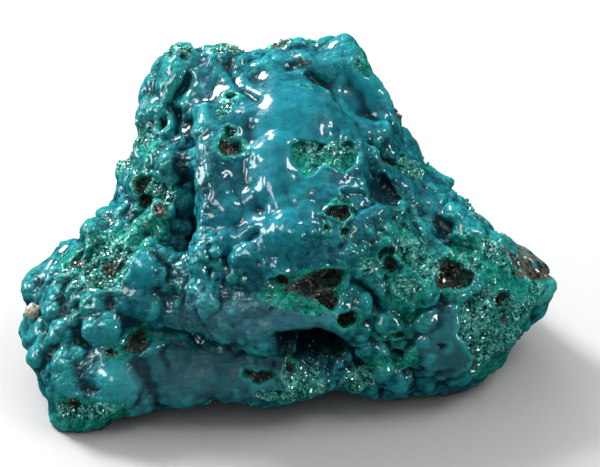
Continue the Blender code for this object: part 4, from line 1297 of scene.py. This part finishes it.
class Board:
    """A node tree, with short ways to place and wire its nodes. A node takes sockets or plain values."""

    def __init__(self, tree: Tree) -> None:
        """Keeps the tree that nodes are placed in."""
        self.tree = tree

    def feed(self, socket: Socket, value: object) -> None:
        """Wires another socket into a socket, or sets its value.

        Args:
            socket: The input that is fed.
            value: The other socket or the value.
        """
        if isinstance(value, Socket):
            self.tree.links.new(value, socket)
        else:
            socket.default_value = value

    def put(self, kind: str, feeds: dict | None = None, **settings: object) -> bpy.types.Node:
        """Places a node.

        Args:
            kind: Its Blender type.
            feeds: What each input gets, by name or number: a socket or a value.
            settings: Values set on the node itself.

        Returns:
            The node.
        """
        node = self.tree.nodes.new(kind)
        for name, value in settings.items():
            setattr(node, name, value)
        for name, value in (feeds or {}).items():
            self.feed(node.inputs[name], value)
        return node

    def mix(self, part: object, one: object, two: object) -> Socket:
        """A colour between two, each of them a socket or a screen colour.

        Args:
            part: How much of the second.
            one: The first colour.
            two: The second colour.

        Returns:
            The mixed colour's socket.
        """
        one, two = (srgb(colour) if isinstance(colour, tuple) else colour for colour in (one, two))
        return self.put("ShaderNodeMix", {0: part, 6: one, 7: two}, data_type="RGBA").outputs[2]

    def sum(self, operation: str, *values: object) -> Socket:
        """One step of arithmetic, by its Blender name, on what it takes."""
        return self.put("ShaderNodeMath", dict(enumerate(values)), operation=operation).outputs[0]

    def times(self, one: object, two: object) -> Socket:
        """One value times another."""
        return self.sum("MULTIPLY", one, two)

    def most(self, one: object, two: object) -> Socket:
        """The greater of two values."""
        return self.sum("MAXIMUM", one, two)

    def scaled(self, value: object, by: object, plus: object) -> Socket:
        """A value times a second one, plus a third."""
        return self.sum("MULTIPLY_ADD", value, by, plus)

    def off_middle(self, value: object) -> Socket:
        """How far a noise is from its middle."""
        return self.sum("ABSOLUTE", self.sum("SUBTRACT", value, 0.5))

    def rise(self, value: object, low: float, high: float, top: float = 1.0) -> Socket:
        """A smooth rise from nought at the low value to the top at the high value."""
        feeds = {"Value": value, "From Min": low, "From Max": high, "To Max": top}
        return self.put("ShaderNodeMapRange", feeds, interpolation_type="SMOOTHSTEP").outputs[0]

    def noise(self, vector: object, scale: object, detail: float) -> Socket:
        """Noise in space, by its features in a metre and how many finer layers it has."""
        return self.put("ShaderNodeTexNoise", {"Vector": vector, "Scale": scale, "Detail": detail}).outputs[0]

    def cells(self, vector: object, scale: object) -> Sockets:
        """Distance and colour of the nearest of strewn cells, by how many there are in a metre."""
        return self.put("ShaderNodeTexVoronoi", {"Vector": vector, "Scale": scale}).outputs

    def parted(self, colour: Socket) -> Sockets:
        """The red, green and blue of a colour."""
        return self.put("ShaderNodeSeparateColor", {"Color": colour}).outputs

    def tint(self, tint: Tint) -> Socket:
        """The value of a tint's attribute."""
        return self.put("ShaderNodeAttribute", attribute_name=tint.value).outputs["Fac"]

    def object_place(self) -> Socket:
        """The place in the object's own frame."""
        return self.put("ShaderNodeTexCoord").outputs["Object"]


Wiring = Callable[[Board, Sockets], dict[str, Socket]]


def new_group(name: str, inputs: dict[str, object], outputs: Sequence[str], wire: Wiring) -> Tree:
    """Makes a shader node group that gives values.

    Args:
        name: The group's name.
        inputs: Each input's first value by name, or None for a place in space.
        outputs: The names of its values.
        wire: Fills the group from its inputs and gives what goes out.

    Returns:
        The group.
    """
    tree = bpy.data.node_groups.new(name, "ShaderNodeTree")
    for title, value in inputs.items():
        kind = "NodeSocketVector" if value is None else "NodeSocketFloat"
        socket = tree.interface.new_socket(title, in_out="INPUT", socket_type=kind)
        if value is not None:
            socket.default_value = value
    for title in outputs:
        tree.interface.new_socket(title, in_out="OUTPUT", socket_type="NodeSocketFloat")
    board = Board(tree)
    entry = board.put("NodeGroupInput")
    leave = board.put("NodeGroupOutput")
    for title, socket in wire(board, entry.outputs).items():
        board.feed(leave.inputs[title], socket)
    return tree


def wire_cloud(board: Board, given: Sockets) -> dict[str, Socket]:
    """Slow cloudiness, far finer flecks, and thin veins where a noise crosses its middle.

    Args:
        board: The group's nodes.
        given: Its place and scale.

    Returns:
        How much there is of each.
    """
    slow = board.noise(given["Place"], given["Scale"], CLOUD_LAYERS)
    fine = board.noise(given["Place"], board.times(given["Scale"], FLECK_FINER), FINE_LAYERS)
    winding = board.noise(given["Place"], board.times(given["Scale"], VEIN_FINER), VEIN_LAYERS)
    off = board.off_middle(winding)
    flecks = {"Cloud": board.rise(slow, *CLOUD_RISE), "Fleck": board.rise(fine, *FLECK_RISE)}
    return {**flecks, "Vein": board.rise(off, *VEIN_RISE)}


def wire_ragged(board: Board, given: Sockets) -> dict[str, Socket]:
    """A mask whose edge is broken up by noise, and thin bands that follow it outside, where noise lets them.

    Args:
        board: The group's nodes.
        given: Its place, mask and scale.

    Returns:
        The broken mask and the bands.
    """
    breaker = board.noise(given["Place"], given["Scale"], CLOUD_LAYERS)
    shifted = board.sum("ADD", given["Mask"], board.scaled(breaker, *EDGE_BREAK))
    waves = board.sum("SINE", board.times(shifted, BAND_WAVES))
    shown = board.times(board.rise(shifted, *BANDS_FROM), board.rise(breaker, *BANDS_WHERE))
    bands = board.times(board.scaled(waves, *BAND_SWING), shown)
    return {"Mask": board.rise(shifted, *EDGE_SHARP), "Bands": bands}


def wire_crag(board: Board, given: Sockets) -> dict[str, Socket]:
    """Sharp fine ridges added to the coarse ones that the skin has.

    Args:
        board: The group's nodes.
        given: Its place, coarse ridges and scale.

    Returns:
        The height of both kinds and that of the fine ones.
    """
    waver = board.noise(given["Place"], given["Scale"], FINE_LAYERS)
    fine = board.most(board.scaled(board.off_middle(waver), *FINE_SHARP), 0.0)
    both = board.sum("ADD", board.times(given["Coarse"], COARSE_PART), board.times(fine, FINE_PART))
    return {"Height": both, "Fine": fine}


def wire_crystal(board: Board, given: Sockets) -> dict[str, Socket]:
    """Faceted grain: each cell has its own height and shade, and its height falls off from its middle.

    Args:
        board: The group's nodes.
        given: Its place and scale.

    Returns:
        The height and the shade.
    """
    cells = board.cells(given["Place"], given["Scale"])
    shade = board.parted(cells["Color"])
    height = board.scaled(shade[0], FACET_STEP, board.times(cells[0], -1.0))
    return {"Height": height, "Shade": shade[1]}


@dataclass(frozen=True)
class Effects:
    """The node groups that several finishes share."""

    cloud: Tree
    ragged: Tree
    crag: Tree
    crystal: Tree

    @classmethod
    def make(cls) -> Effects:
        """Makes the groups.

        Returns:
            The groups.
        """
        place = {"Place": None}
        return cls(
            new_group("cloud", place | {"Scale": 100.0}, ("Cloud", "Fleck", "Vein"), wire_cloud),
            new_group("ragged", place | {"Mask": 0.0, "Scale": 900.0}, ("Mask", "Bands"), wire_ragged),
            new_group("crag", place | {"Coarse": 0.5, "Scale": 900.0}, ("Height", "Fine"), wire_crag),
            new_group("crystal", place | {"Scale": 1500.0}, ("Height", "Shade"), wire_crystal),
        )


def new_material(name: str) -> tuple[bpy.types.Material, Board, bpy.types.Node]:
    """A material with its node tree ready to fill.

    Args:
        name: Its name.

    Returns:
        The material, its board and its Principled shader.
    """
    material = bpy.data.materials.new(name)
    material.use_nodes = True
    return material, Board(material.node_tree), material.node_tree.nodes["Principled BSDF"]


def set_inputs(shader: bpy.types.Node, values: dict[str, object]) -> None:
    """Sets constants on a shader's sockets.

    Args:
        shader: The shader.
        values: Each value by its socket's name.
    """
    for name, value in values.items():
        shader.inputs[name].default_value = value


@dataclass(frozen=True)
class GlazeFinish:
    """The glazed crust with its stains, painted shade, haze and highlights. Colours are screen colours,
    scales count features in a metre.

    A share says how much of a colour is laid over the rest. Two numbers say where a rise starts and ends, and
    a third how high it gets. Those called by something, and the roughness, say by how much a value is
    multiplied and what is then added.
    """

    name: str = "glazed crust"
    deep: Colour = (5, 66, 82)
    main: Colour = (10, 114, 130)
    # A lighter tone at random, and also the painted highlight on crests
    light: Colour = (44, 166, 168)
    sea: Colour = (10, 112, 104)
    # The pale glaze, partly painted sheen
    milky_sheen: Colour = (20, 134, 154)
    # The veins' colour, and also the painted shade in valleys, creases, dark pits and the cave
    dark: Colour = (8, 46, 54)
    # Painted shade, and a painted grey haze of reflection on satin
    shade_haze: Colour = (58, 99, 112)
    # Dark pinholes, and the painted shade in the gaps between druse and matrix ridges
    hole_and_shade: Colour = (16, 30, 28)
    green: Colour = (22, 146, 138)
    # A painted glint on ridge-top facets of the druse
    glint_green: Colour = (150, 238, 228)
    emerald: Colour = (12, 152, 134)
    bottle: Colour = (5, 84, 76)
    brown: Colour = (66, 60, 50)
    quartz: Colour = (132, 136, 120)
    grey: Colour = (116, 106, 86)
    rim: Colour = (70, 182, 165)

    broad_scale: float = 95.0
    fine_scale: float = 420.0
    facet_scale: float = 1700.0
    crag_scale: float = 1100.0
    hole_scale: float = 620.0
    bead_scale: float = 850.0
    ripple_scale: float = 1500.0
    green_scale: float = 620.0
    brown_scale: float = 700.0
    grey_scale: float = 500.0
    rim_scale: float = 900.0
    emerald_scale: float = 480.0

    light_share: float = 0.35
    mottle_by_pale_sheen: Place = (-0.5, 0.55)
    # How much painted shade there is, and how the painted haze follows the flecks
    painted_shade_share: float = 0.75
    shade_haze_by_fleck: Place = (0.35, 0.5)
    sea_share: float = 0.9
    # Share of the pale glaze with its painted sheen
    milky_sheen_share: float = 0.8
    vein_share: float = 0.3
    # Rises of the painted shade in valleys and creases, of the painted highlight on crests, and of the
    # painted shade in dark pits
    valley_shading: Triple = (0.1, 0.9, 0.75)
    crease_shade: Triple = (0.05, -0.7, 0.9)
    crest_highlight: Triple = (0.2, 0.9, 0.45)
    hollow_shade_rise: Place = (0.3, 0.85)
    rim_share: float = 0.5
    hole_edge: Place = (0.16, 0.08)
    hole_chosen: Place = (0.6, 0.7)
    hole_share: float = 0.7

    gem_rise: Place = (0.1, 0.5)
    gem_fleck: float = 0.5
    gem_edge: Triple = (0.55, 0.9, 0.8)
    gem_share: float = 0.9
    green_rise: Place = (0.26, 0.52)
    # Where the painted glint falls: on high ridges and on some facets
    glint_rise: Place = (0.48, 0.75)
    glint_cells: Place = (0.0, 0.5)
    grey_rise: Place = (0.2, 0.55)
    grey_top: Triple = (0.6, 0.85, 0.8)
    grey_share: float = 0.9
    matrix_rise: Place = (0.12, 0.48)
    matrix_fleck: float = 0.35
    matrix_core: Place = (0.5, 0.78)
    speck_shade: Place = (0.68, 0.9)
    speck_rise: Place = (0.3, 0.7)
    speck_share: float = 0.7

    roughness: Place = (0.15, 0.27)
    hollow_shade_dull: float = 0.9
    crease_dull: Triple = (-0.2, -0.9, 0.9)
    grazing_dull: Triple = (0.45, 0.85, 0.9)
    satin_dull: float = 1.08
    coat: float = 0.95
    coat_roughness: float = 0.065
    coat_ior: float = 1.48
    ior: float = 1.45
    specular: float = 0.12

    bead_depth: float = -2.2
    cloud_height: float = 0.4
    ripple_run: Triple = (0.3, 1.0, 1.0)
    ripple_by_satin: Place = (1.5, 0.15)
    jag_height: float = 1.8
    facet_height: float = 1.4
    band_height: float = 0.4
    bump_strength: float = 0.8
    bump_depth: float = 0.00025

    def material(self, effects: Effects) -> bpy.types.Material:
        """Makes the material: glaze colour, then each tint over it, some as painted shade, haze and
        highlights, with roughness, coat and relief to match.

        Args:
            effects: The shared node groups.

        Returns:
            The material.
        """
        material, board, shader = new_material(self.name)
        place = board.object_place()
        mix, rise, tint = board.mix, board.rise, board.tint
        times, most, scaled = board.times, board.most, board.scaled

        def tree(group: Tree, **feeds: object) -> Sockets:
            """The outputs of a shared group placed here."""
            return board.put("ShaderNodeGroup", {"Place": place, **feeds}, node_tree=group).outputs

        def ragged(of: Tint, scale: float) -> Sockets:
            """A tint's ragged mask and the bands around it."""
            return tree(effects.ragged, Mask=tint(of), Scale=scale)

        broad = tree(effects.cloud, Scale=self.broad_scale)
        fine = tree(effects.cloud, Scale=self.fine_scale)
        facets = tree(effects.crystal, Scale=self.facet_scale)
        crag = tree(effects.crag, Coarse=tint(Tint.CRAG), Scale=self.crag_scale)
        crest = tint(Tint.CREST_SHADING)
        green, brown = ragged(Tint.GREEN, self.green_scale), ragged(Tint.BROWN, self.brown_scale)
        grey, rim = ragged(Tint.GREY, self.grey_scale)["Mask"], ragged(Tint.RIM, self.rim_scale)["Mask"]
        emerald = ragged(Tint.EMERALD, self.emerald_scale)["Mask"]
        satin = tint(Tint.SATIN_HAZE)

        mottle = times(broad["Fleck"], scaled(tint(Tint.PALE_SHEEN), *self.mottle_by_pale_sheen))
        # Painted shade where the main lamp doesn't reach, and a painted grey haze on satin
        shade_haze = most(times(tint(Tint.PAINTED_SHADE), self.painted_shade_share), satin)
        # Painted shade in dark pits, hollows, the cave and along creases
        shadow = rise(tint(Tint.HOLLOW_SHADE), *self.hollow_shade_rise)
        bands = most(green["Bands"], brown["Bands"])
        holes = board.cells(place, self.hole_scale)
        chosen = rise(board.parted(holes["Color"])[0], *self.hole_chosen)
        pinholes = times(rise(holes["Distance"], *self.hole_edge), chosen)
        colour = mix(broad["Cloud"], self.deep, self.main)
        for share, over in (
            (times(fine["Cloud"], self.light_share), self.light),
            (mottle, self.deep),
            (times(tint(Tint.SEA), self.sea_share), self.sea),
            # Pale glaze, partly painted sheen
            (times(tint(Tint.PALE_SHEEN), self.milky_sheen_share), self.milky_sheen),
            (times(shade_haze, scaled(fine["Fleck"], *self.shade_haze_by_fleck)), self.shade_haze),
            (times(fine["Vein"], self.vein_share), self.dark),
            # Painted shade in valleys and creases, painted highlight on crests, then painted shade in dark
            # pits
            (rise(tint(Tint.VALLEY_SHADE), *self.valley_shading), self.dark),
            (rise(crest, *self.crease_shade), self.dark),
            (rise(crest, *self.crest_highlight), self.light),
            (shadow, self.dark),
            (most(bands, times(rim, self.rim_share)), self.rim),
            (times(pinholes, self.hole_share), self.hole_and_shade),
        ):
            colour = mix(share, colour, over)

        ridge = crag["Height"]
        gem = mix(rise(ridge, *self.gem_rise), self.bottle, self.emerald)
        gem = mix(times(broad["Fleck"], self.gem_fleck), gem, self.bottle)
        gem = mix(rise(ridge, *self.gem_edge), gem, self.rim)
        colour = mix(times(emerald, self.gem_share), colour, gem)
        # Druse: painted shade in the gaps between ridges, and a painted glint on high facets
        shaded = mix(rise(ridge, *self.green_rise), self.hole_and_shade, self.green)
        lit = times(rise(ridge, *self.glint_rise), rise(facets["Shade"], *self.glint_cells))
        colour = mix(green["Mask"], colour, mix(lit, shaded, self.glint_green))
        # Grey and matrix go dark in their low places as painted shade
        flat = mix(rise(ridge, *self.grey_rise), self.hole_and_shade, self.grey)
        flat = mix(rise(ridge, *self.grey_top), flat, self.green)
        colour = mix(times(grey, self.grey_share), colour, flat)
        matrix = mix(rise(ridge, *self.matrix_rise), self.hole_and_shade, self.brown)
        matrix = mix(times(broad["Fleck"], self.matrix_fleck), matrix, self.green)
        matrix = mix(rise(tint(Tint.BROWN), *self.matrix_core), shaded, matrix)
        specks = times(rise(facets["Shade"], *self.speck_shade), rise(ridge, *self.speck_rise))
        matrix = mix(times(specks, self.speck_share), matrix, self.quartz)
        board.feed(shader.inputs["Base Color"], mix(brown["Mask"], colour, matrix))

        rough = most(most(green["Mask"], brown["Mask"]), grey)
        grazing = board.put("ShaderNodeLayerWeight", {"Blend": 0.5}).outputs["Facing"]
        dull = most(times(shadow, self.hollow_shade_dull), rise(crest, *self.crease_dull))
        dull = most(dull, rise(grazing, *self.grazing_dull))
        dull = most(dull, times(satin, self.satin_dull))
        board.feed(shader.inputs["Roughness"], scaled(most(rough, satin), *self.roughness))
        board.feed(shader.inputs["Coat Weight"], scaled(dull, -self.coat, self.coat))
        set_inputs(shader, {"Coat Roughness": self.coat_roughness, "Coat IOR": self.coat_ior})
        set_inputs(shader, {"IOR": self.ior, "Specular IOR Level": self.specular})

        beads = board.cells(place, self.bead_scale)["Distance"]
        lumpy = board.sum("ADD", tint(Tint.LUMPY), emerald)
        beads = times(times(beads, beads), lumpy)
        waves = scaled(beads, self.bead_depth, times(fine["Cloud"], self.cloud_height))
        drawn_out = board.put("ShaderNodeVectorMath", {0: place, 1: self.ripple_run}, operation="MULTIPLY")
        ripples = board.noise(drawn_out.outputs[0], self.ripple_scale, FINE_LAYERS)
        ripples = times(ripples, scaled(satin, *self.ripple_by_satin))
        jags = times(crag["Fine"], self.jag_height), times(facets["Height"], self.facet_height)
        grain = times(board.sum("ADD", *jags), rough)
        height = board.sum("ADD", board.sum("ADD", waves, ripples), scaled(bands, self.band_height, grain))
        feeds = {"Strength": self.bump_strength, "Distance": self.bump_depth, "Height": height}
        board.feed(shader.inputs["Normal"], board.put("ShaderNodeBump", feeds).outputs["Normal"])
        return material


@dataclass(frozen=True)
class CrystalFinish:
    """Small bright crystals, each place between a dark and a light screen colour."""

    name: str
    dark: Colour
    light: Colour
    roughness: float = 0.22
    cloud_scale: float = 150.0
    cell_scale: float = 1200.0
    light_by_cloud: Place = (0.5, 0.5)
    coat_roughness: float = 0.06
    coat_ior: float = 1.6

    def material(self, effects: Effects) -> bpy.types.Material:
        """Makes the material from the shared cloudiness and cell shades.

        Args:
            effects: The shared node groups.

        Returns:
            The material.
        """
        material, board, shader = new_material(self.name)
        place = board.object_place()
        groups = (effects.cloud, self.cloud_scale), (effects.crystal, self.cell_scale)
        cloud, cells = (
            board.put("ShaderNodeGroup", {"Place": place, "Scale": scale}, node_tree=group).outputs
            for group, scale in groups
        )
        shade = board.times(cells["Shade"], cells["Shade"])
        part = board.times(board.scaled(cloud["Cloud"], *self.light_by_cloud), shade)
        board.feed(shader.inputs["Base Color"], board.mix(part, self.dark, self.light))
        set_inputs(shader, {"Roughness": self.roughness, "Coat Weight": 1.0})
        set_inputs(shader, {"Coat Roughness": self.coat_roughness, "Coat IOR": self.coat_ior})
        return material


def new_piece(name: str, points: Array, faces: Iterable[Sequence[int]], smooth: bool) -> Piece:
    """An object at the origin whose mesh has the given points.

    Args:
        name: The object's name.
        points: Points in millimetres.
        faces: The corners of each face.
        smooth: Whether it is shaded smooth.

    Returns:
        The object.
    """
    mesh = bpy.data.meshes.new(name)
    mesh.from_pydata((points * MM).tolist(), [], faces)
    if smooth:
        mesh.shade_smooth()
    piece = bpy.data.objects.new(name, mesh)
    bpy.context.scene.collection.objects.link(piece)
    return piece


@dataclass
class Stone:
    """The glazed stone: its grid's size, how far that is drawn to the viewer and the wings, and its finish.

    The creases are the widths of the rounding where its large and its smaller forms meet the skin.
    """

    name: str = "crust"
    cells: int = 128
    pull: float = 0.25
    widen: float = 1.3
    large_crease: float = 2.0
    small_crease: float = 0.8
    finish: GlazeFinish = GlazeFinish()

    def model(self) -> Skin:
        """Builds the skin from its largest forms to its finest.

        Returns:
            The skin, still in the frame of the show side.
        """
        skin = Skin(*cube_grid(self.cells, self.pull, self.widen))
        skin.apply(FORMS, self.large_crease)
        for rule in SPREADS:
            skin.spread(rule)
        skin.bubble(*BROAD_LUMPS)
        skin.apply(MIDDLE_FORMS, self.small_crease)
        for lumps in SMALL_LUMPS:
            skin.bubble(*lumps)
        skin.apply(PITS, self.small_crease)
        skin.points = draw_to_outline(skin.points)
        skin.settle()
        for tint, stains in STAINS.items():
            for stain in stains:
                skin.stain(tint, *stain)
        skin.weather()
        skin.roughen()
        skin.find_crests()
        return skin

    def dress(self, skin: Skin, effects: Effects) -> Piece:
        """Makes the mesh with its tints as attributes.

        Args:
            skin: The finished skin.
            effects: The shared node groups.

        Returns:
            The piece.
        """
        piece = new_piece(self.name, skin.points, skin.quads.tolist(), smooth=True)
        for tint, values in skin.tints.items():
            layer = piece.data.attributes.new(tint.value, "FLOAT", "POINT")
            layer.data.foreach_set("value", values.astype(np.float32))
        piece.data.materials.append(self.finish.material(effects))
        return piece


@dataclass
class Druse:
    """Small six-sided crystals on one tint of the skin: how many, how long, how thick and how tilted."""

    name: str
    tint: Tint
    count: int
    length: Place
    seed: int
    finish: CrystalFinish
    thick: float = 0.5
    tilt: float = 1.4

    def grow(self, skin: Skin, effects: Effects) -> Piece:
        """Grows the crystals, joined in one mesh. Green ones keep off the brown, and all keep off the floor.

        A crystal is a hexagon of points at a foot below the skin, another at a shoulder and one at the tip.
        They lie along its axis, which is the skin's normal plus the tilt times a random direction.

        Args:
            skin: The finished skin.
            effects: The shared node groups.

        Returns:
            The piece.
        """
        draw = np.random.default_rng(self.seed)
        corners = skin.points[skin.quads]
        area = np.linalg.norm(quad_normals(corners), axis=1)
        strength = skin.tints[self.tint]
        if self.tint is Tint.GREEN:
            strength = strength * (1.0 - ramp(skin.tints[Tint.BROWN], *DRUSE_OFF_BROWN))
        off_floor = corners[..., 2].min(axis=1) > self.length[1]
        chance = area * off_floor * ramp(strength[skin.quads].mean(axis=1), *DRUSE_ON_TINT)
        chosen = draw.choice(len(chance), self.count, p=chance / chance.sum())
        share = draw.dirichlet(np.ones(4), self.count)
        foot = np.einsum("ij,ijk->ik", share, corners[chosen])
        normal = skin.normals[skin.quads[chosen, 0]]
        axis = unit(normal + self.tilt * unit(draw.normal(size=(self.count, 3))))
        side = unit(np.cross(axis, draw.normal(size=(self.count, 3))))
        other = np.cross(axis, side)
        long = draw.uniform(*self.length, size=self.count)
        angle = np.arange(SIDES) * math.pi / 3
        ring = np.cos(angle)[None, :, None] * side[:, None] + np.sin(angle)[None, :, None] * other[:, None]
        ring = ring * (self.thick * long)[:, None, None]
        levels = [ring + (foot + level * long[:, None] * axis)[:, None] for level in (FOOT, SHOULDER)]
        tip = (foot + long[:, None] * axis)[:, None]
        points = np.concatenate([*levels, tip], axis=1).reshape(-1, 3)
        after = [(i + 1) % SIDES for i in range(SIDES)]
        one = [(i, j, j + SIDES, i + SIDES) for i, j in enumerate(after)]
        one += [(i + SIDES, j + SIDES, 2 * SIDES) for i, j in enumerate(after)]
        one += [tuple(range(SIDES))[::-1]]
        faces = [[(2 * SIDES + 1) * k + i for i in face] for k in range(self.count) for face in one]
        piece = new_piece(self.name, points, faces, smooth=False)
        piece.data.materials.append(self.finish.material(effects))
        return piece


@dataclass
class PaleGrain:
    """The single whitish grain on the left wing: its place on the face, radius, relief and finish.

    It is raised by a share of its radius. Its lumps and waves are each a height in the same way, a size and
    a seed. The lumps' size is in millimetres, and that of the waves is a share of the radius.
    """

    name: str = "pale_grain"
    across: float = -52.8
    up: float = -12.6
    radius: float = 1.7
    cells: int = 16
    raised: float = 0.25
    lumps: tuple[float, float, int] = (0.28, 1.1, 71)
    waves: tuple[float, float, int] = (0.12, 0.5, 72)
    finish: CrystalFinish = CrystalFinish("pale grain", (150, 142, 120), (214, 210, 192), 0.45)

    def build(self, skin: Skin, effects: Effects) -> Piece:
        """Makes the grain as a ball whose radius is one plus cell and noise relief.

        Args:
            skin: The finished skin that it sits on.
            effects: The shared node groups.

        Returns:
            The piece.
        """
        directions, quads = cube_grid(self.cells)
        spot, normal = skin.place(self.across, self.up)
        (lump, *lumps), (wave, *waves) = self.lumps, self.waves
        relief = lump * (0.5 - cell_distance(directions * self.radius, *lumps))
        relief = relief + wave * noise(directions, *waves)
        middle = spot + self.raised * self.radius * normal
        points = middle + self.radius * (1.0 + relief)[:, None] * directions
        piece = new_piece(self.name, points, quads.tolist(), smooth=True)
        piece.data.materials.append(self.finish.material(effects))
        return piece


@dataclass(frozen=True)
class Lamp:
    """A square soft lamp: where it hangs and its side in metres, its watts, and what shows its light."""

    name: str
    at: Triple
    side: float
    power: float
    on_dull: bool = True
    in_gloss: bool = True


# The lamps around the stone. The windows show in its gloss alone, and two others light only what is dull
LAMPS = (
    Lamp("key", (-0.53, 0.53, 0.70), 0.28, 15.0),
    Lamp("side", (0.55, 0.00, 0.80), 0.50, 4.5, in_gloss=False),
    Lamp("soft", (-0.38, 0.70, 0.62), 0.80, 6.0, in_gloss=False),
    Lamp("left window", (-0.77, -0.14, 0.62), 0.22, 2.6, on_dull=False),
    Lamp("low window", (-1.0, 0.10, 0.22), 0.30, 4.0, on_dull=False),
    Lamp("right window", (0.59, 0.03, 0.80), 0.18, 1.8, on_dull=False),
    Lamp("low right window", (0.85, -0.45, 0.25), 0.20, 3.2, on_dull=False),
    Lamp("front window", (-0.46, -0.56, 0.82), 0.34, 3.4, on_dull=False),
)


@dataclass
class Studio:
    """A pale floor, soft lamps, a glow from above and the camera at the show side.

    The middle, by which the stone was shifted, the sensor and the look up are in millimetres, the other sizes
    in metres.
    """

    middle: Array
    floor_half: float = 1.6
    floor_grey: float = 0.43
    floor_roughness: float = 0.7
    lamp_aim: float = 0.03
    glow_from: Triple = (-0.35, 0.25, 0.90)
    glow_spread: Place = (-0.2, 1.0)
    glow: float = 0.9
    dim: float = 0.08
    mirrored_dim: float = 0.85
    sensor: float = 36.0
    lens_width: float = 0.120
    look_up: float = 3.3

    def floor(self) -> None:
        """Lays the plain pale floor."""
        half = self.floor_half / MM
        corners = np.array([(half * x, half * y, 0.0) for x, y in ((-1, -1), (1, -1), (1, 1), (-1, 1))])
        plane = new_piece("floor", corners, [(0, 1, 2, 3)], smooth=False)
        material, _, shader = new_material("pale floor")
        grey = (self.floor_grey,) * 3
        set_inputs(shader, {"Base Color": (*grey, 1.0), "Roughness": self.floor_roughness})
        plane.data.materials.append(material)
        plane.visible_glossy = False

    def hang(self, lamp: Lamp) -> None:
        """Hangs a lamp that faces the stone.

        Args:
            lamp: The lamp.
        """
        light = bpy.data.lights.new(lamp.name, "AREA")
        light.size = lamp.side
        light.energy = lamp.power
        hung = bpy.data.objects.new(lamp.name, light)
        hung.location = lamp.at
        hung.visible_diffuse = lamp.on_dull
        hung.visible_glossy = lamp.in_gloss
        x, y, z = lamp.at
        hung.rotation_euler = Vector((-x, -y, self.lamp_aim - z)).to_track_quat("-Z", "Y").to_euler()
        bpy.context.scene.collection.objects.link(hung)

    def sky(self) -> None:
        """Lights all by a broad soft glow above and behind, brightest in its middle and faint in front."""
        world = bpy.data.worlds.new("studio")
        world.use_nodes = True
        board = Board(world.node_tree)
        towards = board.put("ShaderNodeTexCoord").outputs["Generated"]
        along = board.put("ShaderNodeVectorMath", {0: towards, 1: self.glow_from}, operation="DOT_PRODUCT")
        glow = board.rise(along.outputs["Value"], *self.glow_spread, self.glow)
        in_gloss = board.put("ShaderNodeLightPath").outputs["Is Glossy Ray"]
        kept = board.scaled(in_gloss, -self.mirrored_dim, 1.0)
        background = world.node_tree.nodes["Background"]
        board.feed(background.inputs["Strength"], board.times(board.sum("ADD", glow, self.dim), kept))
        background.inputs["Color"].default_value = (1.0, 1.0, 1.0, 1.0)
        bpy.context.scene.world = world

    def camera(self) -> None:
        """Sets the camera at the photograph's angle, as far off as the outline was read for."""
        aim = (np.array((0.0, 0.0, FACE_MIDDLE)) - self.middle + self.look_up * UP) * MM
        lens = bpy.data.cameras.new("camera")
        lens.sensor_width = self.sensor
        lens.lens = self.sensor * VIEW_DISTANCE * MM / self.lens_width
        camera = bpy.data.objects.new("camera", lens)
        camera.location = (aim + OUT * VIEW_DISTANCE * MM).tolist()
        camera.rotation_euler = (math.pi / 2 - FACE_LEAN, 0.0, 0.0)
        bpy.context.scene.collection.objects.link(camera)
        bpy.context.scene.camera = camera

    def build(self) -> None:
        """Makes the floor, the lamps, the ambient light and the camera."""
        self.floor()
        for lamp in LAMPS:
            self.hang(lamp)
        self.sky()
        bpy.context.scene.view_settings.view_transform = "Standard"
        self.camera()


def main() -> None:
    """Builds the stone, its crystals, the pale grain and the studio, and reports each piece."""
    logging.basicConfig(level=logging.INFO, format="%(message)s")
    effects = Effects.make()
    stone = Stone()
    skin = stone.model()
    middle = skin.set_on_floor()
    crust = stone.dress(skin, effects)
    emerald = CrystalFinish("green druse", (8, 112, 104), (116, 230, 210))
    quartz = CrystalFinish("matrix quartz", (46, 44, 36), (160, 156, 140))
    druses = (
        Druse("green_druse", Tint.GREEN, count=3600, length=(0.3, 0.8), seed=81, finish=emerald),
        Druse("matrix_quartz", Tint.BROWN, count=2600, length=(0.25, 0.65), seed=82, finish=quartz),
    )
    pieces = [crust, *(druse.grow(skin, effects) for druse in druses), PaleGrain().build(skin, effects)]
    for piece in pieces:
        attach(piece, "root")
        LOG.info("%s: %d faces", piece.name, len(piece.data.polygons))
    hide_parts("chrysocolla")
    Studio(middle).build()


if __name__ == "__main__":
    main()
